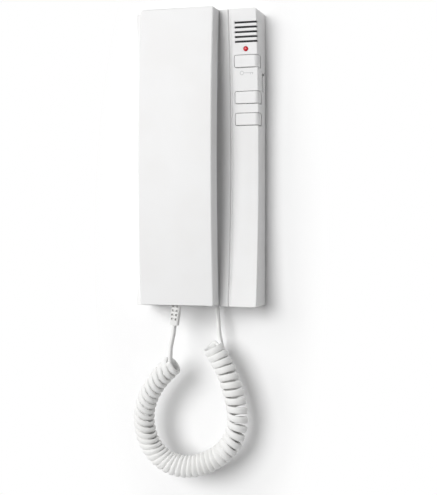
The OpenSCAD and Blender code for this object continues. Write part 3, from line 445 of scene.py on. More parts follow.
def lamp(name, place, size, power):
    light = bpy.data.lights.new(name, "AREA")
    light.shape = "DISK"
    light.size = size
    light.energy = power
    piece = bpy.data.objects.new(name, light)
    bpy.context.scene.collection.objects.link(piece)
    piece.location = place
    piece.rotation_euler = (Vector(LAMP_AIM) - Vector(place)).to_track_quat("-Z", "Y").to_euler()


lamp("window_lamp", (-1.0, -3.78, 0.84), 2.5, 126)
lamp("side_lamp", (-2.8, -2.4, 1.3), 1.6, 19)
lamp("ceiling_lamp", (0, -0.5, 1.9), 0.8, 4)
lamp("floor_lamp", (0, -0.5, -2), 0.8, 4)
room = bpy.data.worlds.new("room")
bpy.context.scene.world = room
room.use_nodes = True
feed(room.node_tree.nodes["Background"], {"Color": (1, 1, 1, 1), "Strength": 0.17})


# ---------------------------------------------------------------- base cover
# One moulding in white ABS: a dished front with the handset's cradle on the left, a raised
# strip for the buttons on the right, and thin side walls that reach back to the wall. It
# hooks over the wall plate at the top, and one screw holds it at the bottom.
BASE_W, BASE_H, BASE_D, BASE_DISH = 92, 215, 27.3, 6.9
SKIN = 2.2
SIDE, TOP = BASE_W / 2, BASE_H / 2
AHEAD = 60                                 # in front of everything, where cuts may end
DISH_R = (TOP ** 2 + BASE_DISH ** 2) / (2 * BASE_DISH)
LIP_X, LIP_R, EDGE_R, GROOVE_W = 25.6, 2.35, 0.8, 1.0
FLOOR_DROP, GROOVE_DROP = 0.8, 2.3
OUTLINE_R, RIM_GAP = 1.5, 1.2
ARC = 6
HANDSET_X, EAR_Z, MOUTH_Z = -9.7, 74.6, -73.4
POCKET_FLOOR, POCKET_BACK = 18, 16
EAR_POCKET_R, MOUTH_POCKET_R = 23.5, 18.5
ROUND = 96                                 # sides of the round pockets
COVER_ROWS, CAVITY_ROWS = 36, 24
BEAD_DEPTH, BEAD_H = (7.3, 8.8), 1.5
SCREW_X, SCREW_DEPTH, BOSS = -20, 8.5, 5
SPEAKER_X, SPEAKER_Z, SPEAKER_R, SPEAKER_DEEP = 28.6, 90.8, 12, 4.3
COLLAR, COLLAR_LONG, COLLAR_GAP, COLLAR_LIP = 1.5, 5, 0.3, 1
WHITE_ABS = (0.87, 0.87, 0.87, 1)


def strip_depth(z):
    """Depth of the strip's front from the wall, at a height."""
    return BASE_D - BASE_DISH + DISH_R - math.sqrt(DISH_R ** 2 - z ** 2)


def arc(middle_x, middle_y, r, start, end, count=ARC):
    """Points on an arc between two angles, in degrees."""
    return [(middle_x + r * math.cos(math.radians(start + (end - start) * k / count)),
             middle_y + r * math.sin(math.radians(start + (end - start) * k / count)))
            for k in range(count + 1)]


def loft(rings):
    """A closed solid through rings with the same number of points, as (points, faces)."""
    n = len(rings[0])
    points = [p for ring in rings for p in ring]
    faces = [(i * n + j, i * n + (j + 1) % n, (i + 1) * n + (j + 1) % n, (i + 1) * n + j)
             for i in range(len(rings) - 1) for j in range(n)]
    faces += [tuple(reversed(range(n))), tuple(range(len(points) - n, len(points)))]
    return points, faces


def together(name, *solids):
    """One object from several solids that lie apart."""
    points, faces = [], []
    for some_points, some_faces in solids:
        faces += [tuple(v + len(points) for v in face) for face in some_faces]
        points += some_points
    return piece_of(name, points, faces)


def settle(piece):
    """Makes what the modifiers do part of the mesh."""
    bpy.context.view_layer.update()
    graph = bpy.context.evaluated_depsgraph_get()
    mesh = bpy.data.meshes.new_from_object(piece.evaluated_get(graph))
    piece.modifiers.clear()
    piece.data = mesh


def join_cut(piece, tool, way="DIFFERENCE"):
    """Cuts a tool out of a piece, or adds it, and then removes the tool."""
    change = piece.modifiers.new("cut", "BOOLEAN")
    change.object, change.operation, change.solver = tool, way, "EXACT"
    settle(piece)
    bpy.data.objects.remove(tool)


def soften(piece, width, angle=35, segments=2):
    """Shades the faces smoothly, and rounds the edges that are sharper than an angle."""
    piece.data.polygons.foreach_set("use_smooth", [True] * len(piece.data.polygons))
    piece.data.set_sharp_from_angle(angle=math.radians(angle))
    bevel = piece.modifiers.new("edges", "BEVEL")
    bevel.limit_method, bevel.angle_limit = "ANGLE", math.radians(angle)
    bevel.width, bevel.segments = width * MM, segments
    bevel.use_clamp_overlap, bevel.harden_normals = False, True
    settle(piece)


def rod(start, end, r, sides=48):
    """A round solid between two points in millimetres."""
    way = (Vector(end) - Vector(start)).normalized()
    across = way.orthogonal().normalized()
    up = way.cross(across)
    turns = [2 * math.pi * k / sides for k in range(sides)]
    return loft([[(Vector(p) + r * (math.cos(a) * across + math.sin(a) * up)) * MM for a in turns]
                 for p in (start, end)])


def forward_rod(x, z, r, d0, d1, sides=48):
    return rod((x, -d0, z), (x, -d1, z), r, sides)


def rounded(low, high, r):
    """A rectangle with round corners, as points in a plane."""
    (a, b), (c, d) = low, high
    middles = ((c - r, d - r), (a + r, d - r), (a + r, b + r), (c - r, b + r))
    return [p for k, middle in enumerate(middles) for p in arc(*middle, r, 90 * k, 90 * k + 90, 4)]


def side_bar(x0, x1, depths, heights, r):
    """A bar from left to right with a rounded section, from depths and heights."""
    section = rounded((depths[0], heights[0]), (depths[1], heights[1]), r)
    return loft([[mm(x, -d, z) for d, z in section] for x in (x0, x1)])


def cover_section(z, inset):
    """The cover's outline in plan at a height, with its sides so far in."""
    front = strip_depth(z)
    left = arc(-SIDE + EDGE_R, FLOOR_DROP + EDGE_R, EDGE_R, 180, 270)
    inner = arc(LIP_X - GROOVE_W - EDGE_R, FLOOR_DROP + EDGE_R, EDGE_R, -90, 0)
    turn = math.degrees(math.asin((LIP_R - GROOVE_DROP) / LIP_R))
    lip = arc(LIP_X + LIP_R, LIP_R, LIP_R, 180 + turn, 270, 8)
    right = arc(SIDE - EDGE_R, EDGE_R, EDGE_R, -90, 0)
    groove = [(LIP_X - GROOVE_W, GROOVE_DROP)]
    line = [(x, front - drop) for x, drop in left + inner + groove + lip + right]
    line = [(-SIDE, RIM_GAP)] + line + [(SIDE, RIM_GAP)]
    near_side = SIDE - 2
    return [mm(x - math.copysign(inset, x) if abs(x) > near_side else x, -d, z) for x, d in line]


ends = [(TOP - OUTLINE_R + OUTLINE_R * math.sin(math.radians(a)),
         OUTLINE_R - OUTLINE_R * math.cos(math.radians(a))) for a in (0, 22.5, 45, 67.5, 90)]
row_step = (BASE_H - 2 * OUTLINE_R) / COVER_ROWS
levels = ([(-z, inset) for z, inset in reversed(ends)]
          + [(-TOP + OUTLINE_R + row_step * k, 0) for k in range(1, COVER_ROWS)] + ends)
cover = together("base_shell", loft([cover_section(z, inset) for z, inset in levels]))


def cavity_section(z):
    """The room behind the cover's skin, in plan at a height."""
    front = strip_depth(z)
    line = [(-SIDE + SKIN, -1), (-SIDE + SKIN, front - FLOOR_DROP - SKIN),
            (LIP_X + SKIN, front - FLOOR_DROP - SKIN), (LIP_X + SKIN, front - SKIN),
            (SIDE - SKIN, front - SKIN), (SIDE - SKIN, -1)]
    return [mm(x, -d, z) for x, d in line]


cavity = together("cavity", loft([cavity_section((TOP - SKIN) * (2 * k / CAVITY_ROWS - 1))
                                  for k in range(CAVITY_ROWS + 1)]))
# What stays inside: the pockets' walls, the bead for the wall plate's hooks, the cover screw's
# boss, and a collar that holds the speaker.
join_cut(cavity, together(
    "kept", forward_rod(HANDSET_X, EAR_Z, EAR_POCKET_R + SKIN, POCKET_BACK, AHEAD, ROUND),
    forward_rod(HANDSET_X, MOUTH_Z, MOUTH_POCKET_R + SKIN, POCKET_BACK, AHEAD, ROUND),
    side_bar(-SIDE, SIDE, BEAD_DEPTH, (TOP - SKIN - BEAD_H, TOP + 1), 0.1),
    side_bar(SCREW_X - BOSS, SCREW_X + BOSS, (SCREW_DEPTH - BOSS, SCREW_DEPTH + BOSS),
             (-TOP - 1, -TOP + 2 * SKIN), 0.1)))
speaker_front = strip_depth(SPEAKER_Z) - SPEAKER_DEEP


def speaker_rod(r, back, front, sides=48):
    return forward_rod(SPEAKER_X, SPEAKER_Z, r, back, front, sides)


collar = together("collar", speaker_rod(SPEAKER_R + COLLAR, speaker_front - COLLAR_LONG, AHEAD))
join_cut(collar, together("seat", speaker_rod(SPEAKER_R + COLLAR_GAP, 1, speaker_front, 64)))
join_cut(collar, together("mouth", speaker_rod(SPEAKER_R - COLLAR_LIP, 1, AHEAD + 1, 64)))
join_cut(cavity, collar)
join_cut(cover, cavity)


def slot_screen(x0, x1, back, front, z0, z1):
    """A thin sheet behind the strip's skin that follows its dish, from sizes under its front."""
    rings, rows = [], 8
    for k in range(rows + 1):
        z = z0 + (z1 - z0) * k / rows
        face = strip_depth(z)
        rings.append([mm(x, -d, z) for x, d in ((x0, face - back), (x1, face - back),
                                                (x1, face - front), (x0, face - front))])
    return loft(rings)


SLOTS, SLOT_PITCH, SLOT_H, SLOT_WRAP, SLOT_R = 5, 3.4, 1.4, 2.8, 0.55
SLOT_START = 3.8                           # from the groove's lip to the slots' left ends
slot_places = [SPEAKER_Z + (k - (SLOTS - 1) / 2) * SLOT_PITCH for k in range(SLOTS)]
CLOTH = (28.7, SIDE - SKIN - 0.2, 2.75, 2.3, 82.4, 99.2)
CLOTH_RECESS = (28.4, SIDE - SKIN - 0.02, 2.95, 2.15, 82.1, 99.5)
BUTTON_Z, BUTTON_H, BUTTON_GAP = (70, 44, 28.3), 8.6, 0.35
BUTTON_X = (28.7, 46.2)
BUTTON_BACK, BUTTON_STROKE = 7.2, 2.1
FRONT_CORNER, SIDE_CORNER = 1.3, 1.6
CORNER_ROWS = (0, 0.08, 0.25, 0.5, 0.85, 1.3, 2.2)         # heights from the nearer edge


def key_rows(z, grow):
    """Heights, left ends and back depths of a button or its window, round at the corners."""
    half = BUTTON_H / 2 + grow

    def inset(r, down):
        return r - math.sqrt(r * r - max(0.0, r - down) ** 2)
    rows = []
    for down in (*CORNER_ROWS, half):
        rows.append((down, BUTTON_X[0] - grow + inset(FRONT_CORNER + grow, down),
                     inset(SIDE_CORNER + grow, down)))
    rows = [(half - down, left, lift) for down, left, lift in rows]
    rows = [(-h, left, lift) for h, left, lift in rows[:-1]] + rows[::-1]
    back = strip_depth(z) - BUTTON_BACK - (BUTTON_STROKE if grow else 0)
    return [(z + h, left, back + lift) for h, left, lift in rows]


REST_X, REST_Z, REST_R, REST_FIT, REST_DEEP = 20.3, 98, 4, 0.05, 1
LAMP_X, LAMP_Z, LAMP_R = 37.3, 78.8, 1.85
WINDOW_DEPTH, WINDOW_Z, WINDOW_W, WINDOW_H, WINDOW_R = 7.7, 56, 6.2, 13.6, 0.8
GROMMET_R, SCREW_HEAD_R, SCREW_HEAD_DEEP, SCREW_R = 4.5, 3, 1.9, 1.7
PLUNGER_X, PLUNGER_Z, PLUNGER_R = 4, 64, 2.15
openings = [forward_rod(HANDSET_X, EAR_Z, EAR_POCKET_R, POCKET_FLOOR, AHEAD, ROUND),
            forward_rod(HANDSET_X, MOUTH_Z, MOUTH_POCKET_R, POCKET_FLOOR, AHEAD, ROUND),
            forward_rod(LAMP_X, LAMP_Z, LAMP_R, 10, AHEAD, 32),
            rod((OUTLET_X, -OUTLET_DEPTH, -TOP - 1), (OUTLET_X, -OUTLET_DEPTH, -TOP + 3),
                GROMMET_R, 32),
            rod((SCREW_X, -SCREW_DEPTH, -TOP - 1),
                (SCREW_X, -SCREW_DEPTH, -TOP + SCREW_HEAD_DEEP), SCREW_HEAD_R, 32),
            side_bar(SIDE - 4, SIDE + 1, (WINDOW_DEPTH - WINDOW_W / 2, WINDOW_DEPTH + WINDOW_W / 2),
                     (WINDOW_Z - WINDOW_H / 2, WINDOW_Z + WINDOW_H / 2), WINDOW_R)]
for z in slot_places:
    openings.append(side_bar(LIP_X + SLOT_START, SIDE + 1, (strip_depth(z) - SLOT_WRAP, AHEAD),
                             (z - SLOT_H / 2, z + SLOT_H / 2), SLOT_R))
for z in BUTTON_Z:
    openings.append(loft([[mm(x, -d, h) for x, d in (
        (left, back), (SIDE + 1, back), (SIDE + 1, AHEAD), (left, AHEAD))]
        for h, left, back in key_rows(z, BUTTON_GAP)]))
for x in (-REST_X, REST_X):
    for z in (-REST_Z, REST_Z):
        openings.append(forward_rod(HANDSET_X + x, z, REST_R + REST_FIT,
                                    strip_depth(z) - FLOOR_DROP - REST_DEEP, AHEAD))
join_cut(cover, together("openings", *openings))
join_cut(cover, together("cloth_recess", slot_screen(*CLOTH_RECESS)))
join_cut(cover, together("small_holes", forward_rod(PLUNGER_X, PLUNGER_Z, PLUNGER_R, 10, 20, 24),
                         rod((SCREW_X, -SCREW_DEPTH, -TOP + 1), (SCREW_X, -SCREW_DEPTH, -TOP + 5),
                             SCREW_R, 24)))
soften(cover, 0.2)

SIGN_X, SIGN_Z = 34, 61.6
SIGN_BOW, SIGN_LINE = 1.3, 0.22            # radius of the key's bow, and half the lines' width
SIGN_SHAFT, SIGN_TOOTH = 3.6, 0.6          # half the length of its shaft and of a tooth
SIGN_GREY = (0.62, 0.62, 0.62, 1)


def printed_key(place):
    """The door sign under the upper button: 1 on the lines of a plain key, 0 elsewhere."""
    x, z = place.parts("XZ")

    def bar(middle_x, middle_z, half_x, half_z):
        across = abs(x - middle_x * MM) - half_x * MM
        return across.larger(abs(z - middle_z * MM) - half_z * MM)
    u, v = x - SIGN_X * MM, z - SIGN_Z * MM
    line = abs((u * u + v * v) ** 0.5 - SIGN_BOW * MM) - SIGN_LINE * MM
    teeth = [bar(SIGN_X + along, SIGN_Z - SIGN_TOOTH, SIGN_LINE, SIGN_TOOTH) for along in (6.4, 8)]
    for shape in (bar(SIGN_X + SIGN_BOW + SIGN_SHAFT, SIGN_Z, SIGN_SHAFT, SIGN_LINE), *teeth):
        line = line.smaller(shape)
    return 1 - line.between(-0.03 * MM, 0.05 * MM)


white_abs = plastic("white_abs", WHITE_ABS)
printed_abs = plastic("printed_abs", WHITE_ABS)
shader = main_shader(printed_abs)
plain = Shade(printed_abs.node_tree, shader.inputs["Base Color"].links[0].from_socket)
sign = printed_key(plain.make("TexCoord", {}, {}, "Object"))
feed(shader, {"Base Color": sign.mix(plain, SIGN_GREY)})
cover.data.materials.append(printed_abs)
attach(cover, "base")
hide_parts("base_cover")


# ---------------------------------------------------------------- lamp's window
# The lamp's window is a pin of clear red plastic, pressed into the strip from behind. It
# guides the light of the lamp on the board to the front.
lens, shader, place = finish("red_lens")
spots = noise(place, 600, 2)
feed(shader, {"Base Color": spots.mix((0.72, 0.025, 0.045, 1), (0.56, 0.014, 0.026, 1)),
              "Roughness": 0.16 + 0.06 * spots, "Coat Weight": 0.4,
              "Normal": bump(spots, 0.00002, 0.4)})


def dress(material, *names):
    """Gives pieces that stay as they were drawn their finish."""
    for name in names:
        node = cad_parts[name]
        node.data.materials.clear()
        node.data.materials.append(material)


dress(lens, "light_guide")


# ---------------------------------------------------------------- buttons
# Each button is an L-shaped cap, moulded in white ABS, that turns round the strip's right
# corner. It rests on its switch's pin, a catch behind the strip keeps it in, and it stands a
# little proud.
BUTTON_TURN, BUTTON_SKIN, BUTTON_PROUD, BUTTON_EDGE = 3, 1.8, 0.6, 0.55
STEM_X, STEM_R, STEM_BACK, STEM_SUNK = 38, 2, 14.7, 0.3
CATCH_X, CATCH_BACK, CATCH_T, CATCH_H = (27.3, 28.75, 30.3), 3.0, 1.1, 3
cap_white = plastic("cap_white", WHITE_ABS, 0.34)


def merge_flat(piece):
    """Makes one face of those that lie in a plane, so that rounding has room at the edges."""
    shape = bmesh.new()
    shape.from_mesh(piece.data)
    bmesh.ops.dissolve_limit(shape, angle_limit=math.radians(1), verts=shape.verts,
                             edges=shape.edges)
    shape.to_mesh(piece.data)
    shape.free()


for name, z in zip(("upper", "middle", "lower"), BUTTON_Z):
    rings = []
    for h, left, back in key_rows(z, 0):
        front = strip_depth(h) + BUTTON_PROUD
        turn = (BUTTON_X[1] - BUTTON_TURN, front - BUTTON_TURN)
        outer = [(left, front - BUTTON_SKIN), (left, front)] + arc(*turn, BUTTON_TURN, 90, 0, 10)
        inner = arc(*turn, BUTTON_TURN - BUTTON_SKIN, 0, 90, 10)
        end = [(BUTTON_X[1], back), (BUTTON_X[1] - BUTTON_SKIN, back)]
        rings.append([mm(x, -d, h) for x, d in outer + end + inner])
    stem = strip_depth(z) - BUTTON_SKIN + BUTTON_PROUD
    low, high, step = stem - CATCH_BACK, stem + 0.1, stem - CATCH_BACK + CATCH_T
    catch = [(CATCH_X[0], low), (CATCH_X[2], low), (CATCH_X[2], high), (CATCH_X[1], high),
             (CATCH_X[1], step), (CATCH_X[0], step)]
    button = together(
        name + "_cap", loft(rings),
        forward_rod(STEM_X, z, STEM_R, STEM_BACK, stem + STEM_SUNK, 24),
        loft([[mm(x, -d, h) for x, d in catch] for h in (z - CATCH_H, z + CATCH_H)]))
    merge_flat(button)
    soften(button, BUTTON_EDGE, 50, 3)
    button.data.materials.append(cap_white)
    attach(button, name + "_key")
    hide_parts(name + "_button")


# ---------------------------------------------------------------- handset
# Two white ABS shells screwed together from the back. The front one is a plain bowed slab
# with soft long edges, and hangs over the cradle with a shadow gap all round.
HANDSET_W, HANDSET_H, HANDSET_T, HANDSET_FRONT, HANDSET_BOW = 55.6, 213.8, 13.4, 41, 5
HANDSET_Z, HANDSET_EDGE = 0.6, 1.3
TOP_CORNERS, BOTTOM_CORNERS = (2.4, 1.0), (1.2, 1.2)       # left and right
SHELL, HOLLOW_EDGE = 2, 0.4
SHELL_ROWS, HOLLOW_ROWS = 40, 20
NECK_W, NECK_DEEP, NECK_GAP = 6.8, 5, 0.2
BOW_R = ((HANDSET_H / 2) ** 2 + HANDSET_BOW ** 2) / (2 * HANDSET_BOW)


def bow_depth(z, under):
    """Depth of a surface inside the handset, so far under its front, at a height."""
    return (HANDSET_FRONT + HANDSET_BOW - BOW_R
            + math.sqrt((BOW_R - under) ** 2 - (z - HANDSET_Z) ** 2))


def shell_section(z, left_inset=0, right_inset=0, skin=0, edge=HANDSET_EDGE, past=0):
    """The shell's outline in plan at a height, or that of its hollow, so far past its back."""
    x0 = HANDSET_X - HANDSET_W / 2 + skin + left_inset
    x1 = HANDSET_X + HANDSET_W / 2 - skin - right_inset
    line = ([(x0, HANDSET_T + past)] + arc(x0 + edge, skin + edge, edge, 180, 270)
            + arc(x1 - edge, skin + edge, edge, 270, 360) + [(x1, HANDSET_T + past)])
    return [mm(x, -bow_depth(z, under), z) for x, under in line]


def shell_levels():
    """Heights with the insets that round the outline's corners, from bottom to top."""
    found = []
    for sign, (left, right) in ((-1, BOTTOM_CORNERS), (1, TOP_CORNERS)):
        big = max(left, right)
        rows = []
        for a in range(0, 91, 15):
            up = big * math.sin(math.radians(a))
            insets = []
            for r in (left, right):
                past = max(0.0, up - (big - r))
                insets.append(r - math.sqrt(max(0.0, r * r - past * past)))
            rows.append((HANDSET_Z + sign * (HANDSET_H / 2 - big + up), *insets))
        found.append(rows)
    low, high = list(reversed(found[0])), found[1]
    step = (high[0][0] - low[-1][0]) / SHELL_ROWS
    return low + [(low[-1][0] + step * k, 0, 0) for k in range(1, SHELL_ROWS)] + high


front_shell = together("handset_shell", loft([shell_section(*row) for row in shell_levels()]))
hollow_places = [HANDSET_Z + (HANDSET_H / 2 - SHELL) * (2 * k / HOLLOW_ROWS - 1)
                 for k in range(HOLLOW_ROWS + 1)]
join_cut(front_shell, together("hollow", loft([
    shell_section(z, skin=SHELL, edge=HOLLOW_EDGE, past=1) for z in hollow_places])))
neck_x, neck_deep = NECK_W / 2 + NECK_GAP, NECK_DEEP / 2 + NECK_GAP
join_cut(front_shell, together("neck_hole", loft([[
    mm(RELIEF_X + x, -RELIEF_DEPTH - d, z) for x, d in (
        (-neck_x, -neck_deep), (neck_x, -neck_deep), (neck_x, neck_deep), (-neck_x, neck_deep))]
    for z in (-110, -103)])))
soften(front_shell, 0.35, 40, 3)
front_shell.data.materials.append(white_abs)
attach(front_shell, "handset")
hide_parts("handset_front")
dress(white_abs, "handset_back")
back_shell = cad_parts["handset_back"]
back_shell.modifiers.new("weld", "WELD").merge_threshold = 0.002 * MM
flat = back_shell.modifiers.new("flat", "DECIMATE")
flat.decimate_type, flat.angle_limit = "DISSOLVE", math.radians(0.3)
bevel = back_shell.modifiers.new("edges", "BEVEL")
bevel.limit_method, bevel.angle_limit = "ANGLE", math.radians(35)
bevel.width, bevel.segments, bevel.use_clamp_overlap = 0.25 * MM, 2, False
back_shell.modifiers.new("normals", "WEIGHTED_NORMAL")


# ---------------------------------------------------------------- strain relief
# A soft white vinyl sleeve, moulded onto the cord's end, whose neck and flange hold it in the
# handset. Its ribs let it bend, so that the cord isn't kinked.
RELIEF_W, RELIEF_DEEP, RELIEF_CORE, RELIEF_R = 6.0, 5, 0.7, 1.1
POCKETS, POCKET_START, POCKET_PITCH, POCKET_LONG = 4, 0.3, 3.1, 1.5
POCKET_X = (0.45, 2.55)
FLANGE_W, FLANGE_DEEP, FLANGE_Z = 9.8, 7, (2.2, 4.2)
relief_side = TO_WALL.cross(relief_way).normalized()


def relief_bar(across, deep, start, end, r):
    """A straight piece of the relief, with round long edges, leaning as the relief does."""
    return loft([[relief_top + (along * relief_way + x * relief_side) * MM + mm(0, y, 0)
                  for x, y in rounded((across[0], deep[0]), (across[1], deep[1]), r)]
                 for along in (start, end)])


relief = together("ribbed_relief", relief_bar(
    (-RELIEF_W / 2, RELIEF_W / 2), (-RELIEF_DEEP / 2, RELIEF_DEEP / 2), -0.2, RELIEF_LONG, RELIEF_R))
pocket_starts = [POCKET_START + POCKET_PITCH * k for k in range(POCKETS)]
pockets = [relief_bar(across, deep, start, start + POCKET_LONG, 0.1) for start in pocket_starts
           for across in ((-POCKET_X[1], -POCKET_X[0]), POCKET_X)
           for deep in ((-RELIEF_DEEP, -RELIEF_CORE / 2), (RELIEF_CORE / 2, RELIEF_DEEP))]
join_cut(relief, together("pockets", *pockets))
neck = [[relief_top + mm(x, y, z)
         for x, y in rounded((-wide / 2, -deep / 2), (wide / 2, deep / 2), 0.6)]
        for wide, deep, z in ((NECK_W, NECK_DEEP, -0.1), (NECK_W, NECK_DEEP, FLANGE_Z[0]),
                              (FLANGE_W, FLANGE_DEEP, FLANGE_Z[0]),
                              (FLANGE_W, FLANGE_DEEP, FLANGE_Z[1]))]
join_cut(relief, together("neck", loft(neck)), "UNION")
soften(relief, 0.12, 40)
relief.data.materials.append(plastic("soft_vinyl", (0.84, 0.84, 0.83, 1), 0.5, 0.00003, 1500))
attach(relief, "handset")
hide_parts("strain_relief")


# ---------------------------------------------------------------- volume slider
# A small ridged slide of white plastic in a window of the right side wall. A flange behind
# the wall keeps it in, and its arm works the volume switch. While it is down, a gap shows
# above it.
SLIDER_LOW, SLIDER_HIGH, SLIDER_PROUD, SLIDER_GAP, SLIDER_R = 49.5, 60.9, 0.5, 0.3, 0.6
GROOVES, GROOVE_START, GROOVE_PITCH, GROOVE_R = 6, 2.2, 1.4, 0.5
SLIDE_FLANGE_DEPTHS, SLIDE_ARM_DEPTHS, SLIDE_ARM_X = (4, 12), (10.2, 12), 39.2
inner_face = SIDE - SKIN
slider_half = WINDOW_W / 2 - SLIDER_GAP
slider = together("ridged_slide", side_bar(
    inner_face - 1, SIDE + SLIDER_PROUD, (WINDOW_DEPTH - slider_half, WINDOW_DEPTH + slider_half),
    (SLIDER_LOW, SLIDER_HIGH), SLIDER_R))
groove_x = SIDE + SLIDER_PROUD + GROOVE_R / 2
groove_places = [SLIDER_LOW + GROOVE_START + GROOVE_PITCH * k for k in range(GROOVES)]
join_cut(slider, together("grooves", *[
    rod((groove_x, -WINDOW_DEPTH - 4, z), (groove_x, -WINDOW_DEPTH + 4, z), GROOVE_R, 16)
    for z in groove_places]))
join_cut(slider, together("flange", side_bar(
    inner_face - 1.5, inner_face - SLIDER_GAP, SLIDE_FLANGE_DEPTHS,
    (SLIDER_LOW - 1, SLIDER_HIGH + 1), 0.3)), "UNION")
join_cut(slider, together("arm", side_bar(
    SLIDE_ARM_X, inner_face - 1.4, SLIDE_ARM_DEPTHS, (SLIDER_LOW + 3, SLIDER_HIGH - 3), 0.2)), "UNION")
soften(slider, 0.12, 40)
slider.data.materials.append(cap_white)
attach(slider, "slider")
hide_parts("volume_slider")


# ---------------------------------------------------------------- wall plate
# A plain plate, moulded in pale grey ABS, with posts for the board and hooks for the cover.
# Four screws hold it to the wall.
dress(plastic("plate_abs", (0.74, 0.74, 0.73, 1), 0.5, 0.00005, 1800), "wall_plate")


# ---------------------------------------------------------------- circuit board
# A glass-fibre board whose green solder mask lies over copper tracks, which show through it
# as slightly lighter lines. It is screwed to the wall plate's posts.
material, shader, place = finish("solder_mask")
cells = place.make("TexVoronoi", {"feature": "DISTANCE_TO_EDGE"}, {"Vector": place, "Scale": 220})
tracks = 1 - cells.between(0.02, 0.06)
blotch = noise(place, 60, 3)
feed(shader, {"Base Color": tracks.mix((0.015, 0.12, 0.05, 1), (0.04, 0.22, 0.09, 1)),
              "Roughness": 0.28 + 0.1 * blotch, "Coat Weight": 0.3,
              "Normal": bump(tracks, 0.00004, 0.4)})
dress(material, "circuit_board")


# ---------------------------------------------------------------- screws
# Zinc-plated self-tapping screws, bright with faint turning marks. They hold the board, the
# cover and the two shells of the handset.
def metal(name, colour, rough, scale, depth):
    """Bare metal with fine drawing lines and duller patches."""
    material, shader, place = finish(name)
    lines = place.make("TexWave", {"bands_direction": "Z"},
                       {"Vector": place, "Scale": scale, "Distortion": 6, "Detail": 3})
    dull = noise(place, 300, 4)
    feed(shader, {"Base Color": dull.mix(colour, tuple(0.72 * c for c in colour[:3]) + (1,)),
                  "Metallic": 1.0, "Roughness": rough + 0.15 * dull,
                  "Normal": bump(lines, depth, 0.3)})
    return material


dress(metal("zinc_plate", (0.6, 0.6, 0.58, 1), 0.25, 900, 0.00002), "board_screws", "cover_screw",
      "handset_screws")


# ---------------------------------------------------------------- terminal block
# The block that takes the door line's wires: green polyamide with open wire entries along its
# lower side, soldered to the board.
dress(plastic("green_polyamide", (0.03, 0.26, 0.12, 1), 0.42, 0.00003, 1900), "terminal_block")


# ---------------------------------------------------------------- switches
# Black glass-filled nylon bodies, soldered to the board, and the acetal pins that the buttons
# push into them.
dress(plastic("black_nylon", (0.02, 0.02, 0.021, 1), 0.46, 0.00003, 2100, 0.2), "key_switches",
      "hook_switch", "volume_switch")
dress(plastic("pin_acetal", (0.05, 0.05, 0.055, 1), 0.34, 0.00002, 2600, 0.2), "upper_key_pin",
      "middle_key_pin", "lower_key_pin")


# ---------------------------------------------------------------- lamp on the board
# A milky resin body, cast round the light and soldered to the board, which shines through
# the red window when a call comes in.
material, shader, place = finish("milky_resin")
haze = noise(place, 900, 3)
feed(shader, {"Base Color": haze.mix((0.85, 0.82, 0.62, 1), (0.75, 0.7, 0.48, 1)),
              "Roughness": 0.3 + 0.15 * haze, "Normal": bump(haze, 0.00002, 0.3)})
dress(material, "call_led")


# ---------------------------------------------------------------- call speaker and gauze
# The speaker has a pressed steel frame round its cone and sits in a collar of the cover. A
# woven black cloth over it and behind the slots keeps dust out.
dress(metal("speaker_steel", (0.42, 0.42, 0.43, 1), 0.34, 500, 0.00003), "call_speaker")


THREAD_PITCH = 0.5 * MM
WAVE = 0.314                               # length in metres of a wave at a scale of 1
# The first pair sets how far under the strip's front the dark folds in the slots lie. These folds are
# partly cloth and partly painted shade. The gap keeps them off the slots' edges.
FOLD_SHADE_UNDER, FOLD_SHADE_GAP = (2.7, 0.9), 0.06
GAUZE_UNDER = (0.35, 0.05)


def weave(place):
    """Threads over and under each other, square to the telephone's front."""
    across, up = (place.make("TexWave", {"bands_direction": way, "wave_profile": "SIN"},
                             {"Vector": place, "Scale": WAVE / THREAD_PITCH}) for way in "XZ")
    return across * up


material, shader, place = finish("black_gauze_and_slot_shade")
threads = weave(place)
fluff = noise(place, 1500, 3)
feed(shader, {"Base Color": threads.mix((0.02, 0.02, 0.022, 1), (0.05, 0.05, 0.052, 1)),
              "Roughness": 0.75 + 0.2 * fluff, "Normal": bump(threads + 0.3 * fluff, 0.00008, 0.7)})
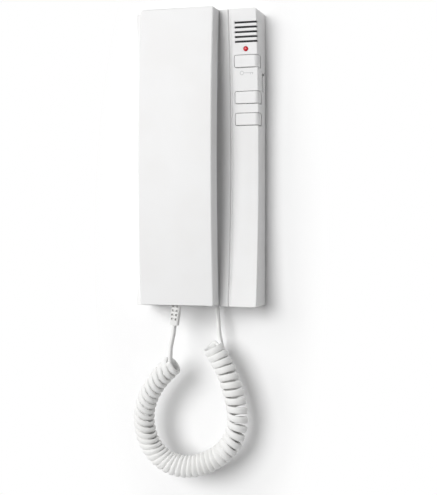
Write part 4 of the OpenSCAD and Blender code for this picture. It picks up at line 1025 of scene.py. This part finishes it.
# Dark folds of the black cloth stand in the slots, a little under the strip's front. They are partly
# the real cloth behind the slots and partly painted shade: a dark sheet that fills the slots out over
# the side wall, where no cloth reaches.
cloth_and_shade_folds = [side_bar(LIP_X + SLOT_START + 0.1, SIDE - 0.7,
                   [strip_depth(z) - under for under in FOLD_SHADE_UNDER],
                   (z - SLOT_H / 2 + FOLD_SHADE_GAP, z + SLOT_H / 2 - FOLD_SHADE_GAP), 0.3)
          for z in slot_places]
gauze = speaker_rod(SPEAKER_R, *(speaker_front - under for under in GAUZE_UNDER), 64)
screen = together("slot_screen", gauze, slot_screen(*CLOTH), *cloth_and_shade_folds)
screen.data.materials.append(material)
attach(screen, "base")
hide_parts("speaker_gauze")


# ---------------------------------------------------------------- hook plunger
# A round pin of white acetal, smooth and a little waxy, which slides in a hole of the cover.
# The ear cap pushes it in when the handset is hung up.
dress(plastic("acetal", (0.82, 0.82, 0.8, 1), 0.3, 0.00001, 3000), "hook_plunger")


# ---------------------------------------------------------------- rubber parts
# Moulded rubber: the grey rests, pushed into holes of the cover, the grey cord grommet, and
# the black seal and boot that hold the capsules.
def rubber(name, colour):
    """Moulded rubber: dull, with fine pits and paler dusty patches."""
    material, shader, place = finish(name)
    dust = noise(place, 160, 5, 0.65)
    pits = noise(place, 2200, 2)
    pale = tuple(c * 1.5 + 0.02 for c in colour[:3]) + (1,)
    feed(shader, {"Base Color": dust.between(0.45, 0.75).mix(colour, pale),
                  "Roughness": 0.72 + 0.12 * dust, "Specular IOR Level": 0.3,
                  "Normal": bump(pits + 0.3 * dust, 0.00005, 0.6)})
    return material


dress(rubber("grey_rubber", (0.16, 0.16, 0.165, 1)), "rest_pads", "cord_grommet")
dress(rubber("black_rubber", (0.018, 0.018, 0.019, 1)), "receiver_seal", "microphone_boot")


# ---------------------------------------------------------------- receiver, microphone and ballast
# Inside the handset, between its two shells: a black plastic receiver, a microphone in an
# aluminium can, and a rough iron bar for weight.
dress(plastic("capsule_abs", (0.025, 0.025, 0.03, 1), 0.4, 0.00003, 2000, 0.2), "receiver")
dress(metal("aluminium_can", (0.75, 0.75, 0.76, 1), 0.22, 1200, 0.00001), "microphone")
dress(metal("mill_iron", (0.3, 0.29, 0.28, 1), 0.5, 160, 0.00008), "ballast_bar")
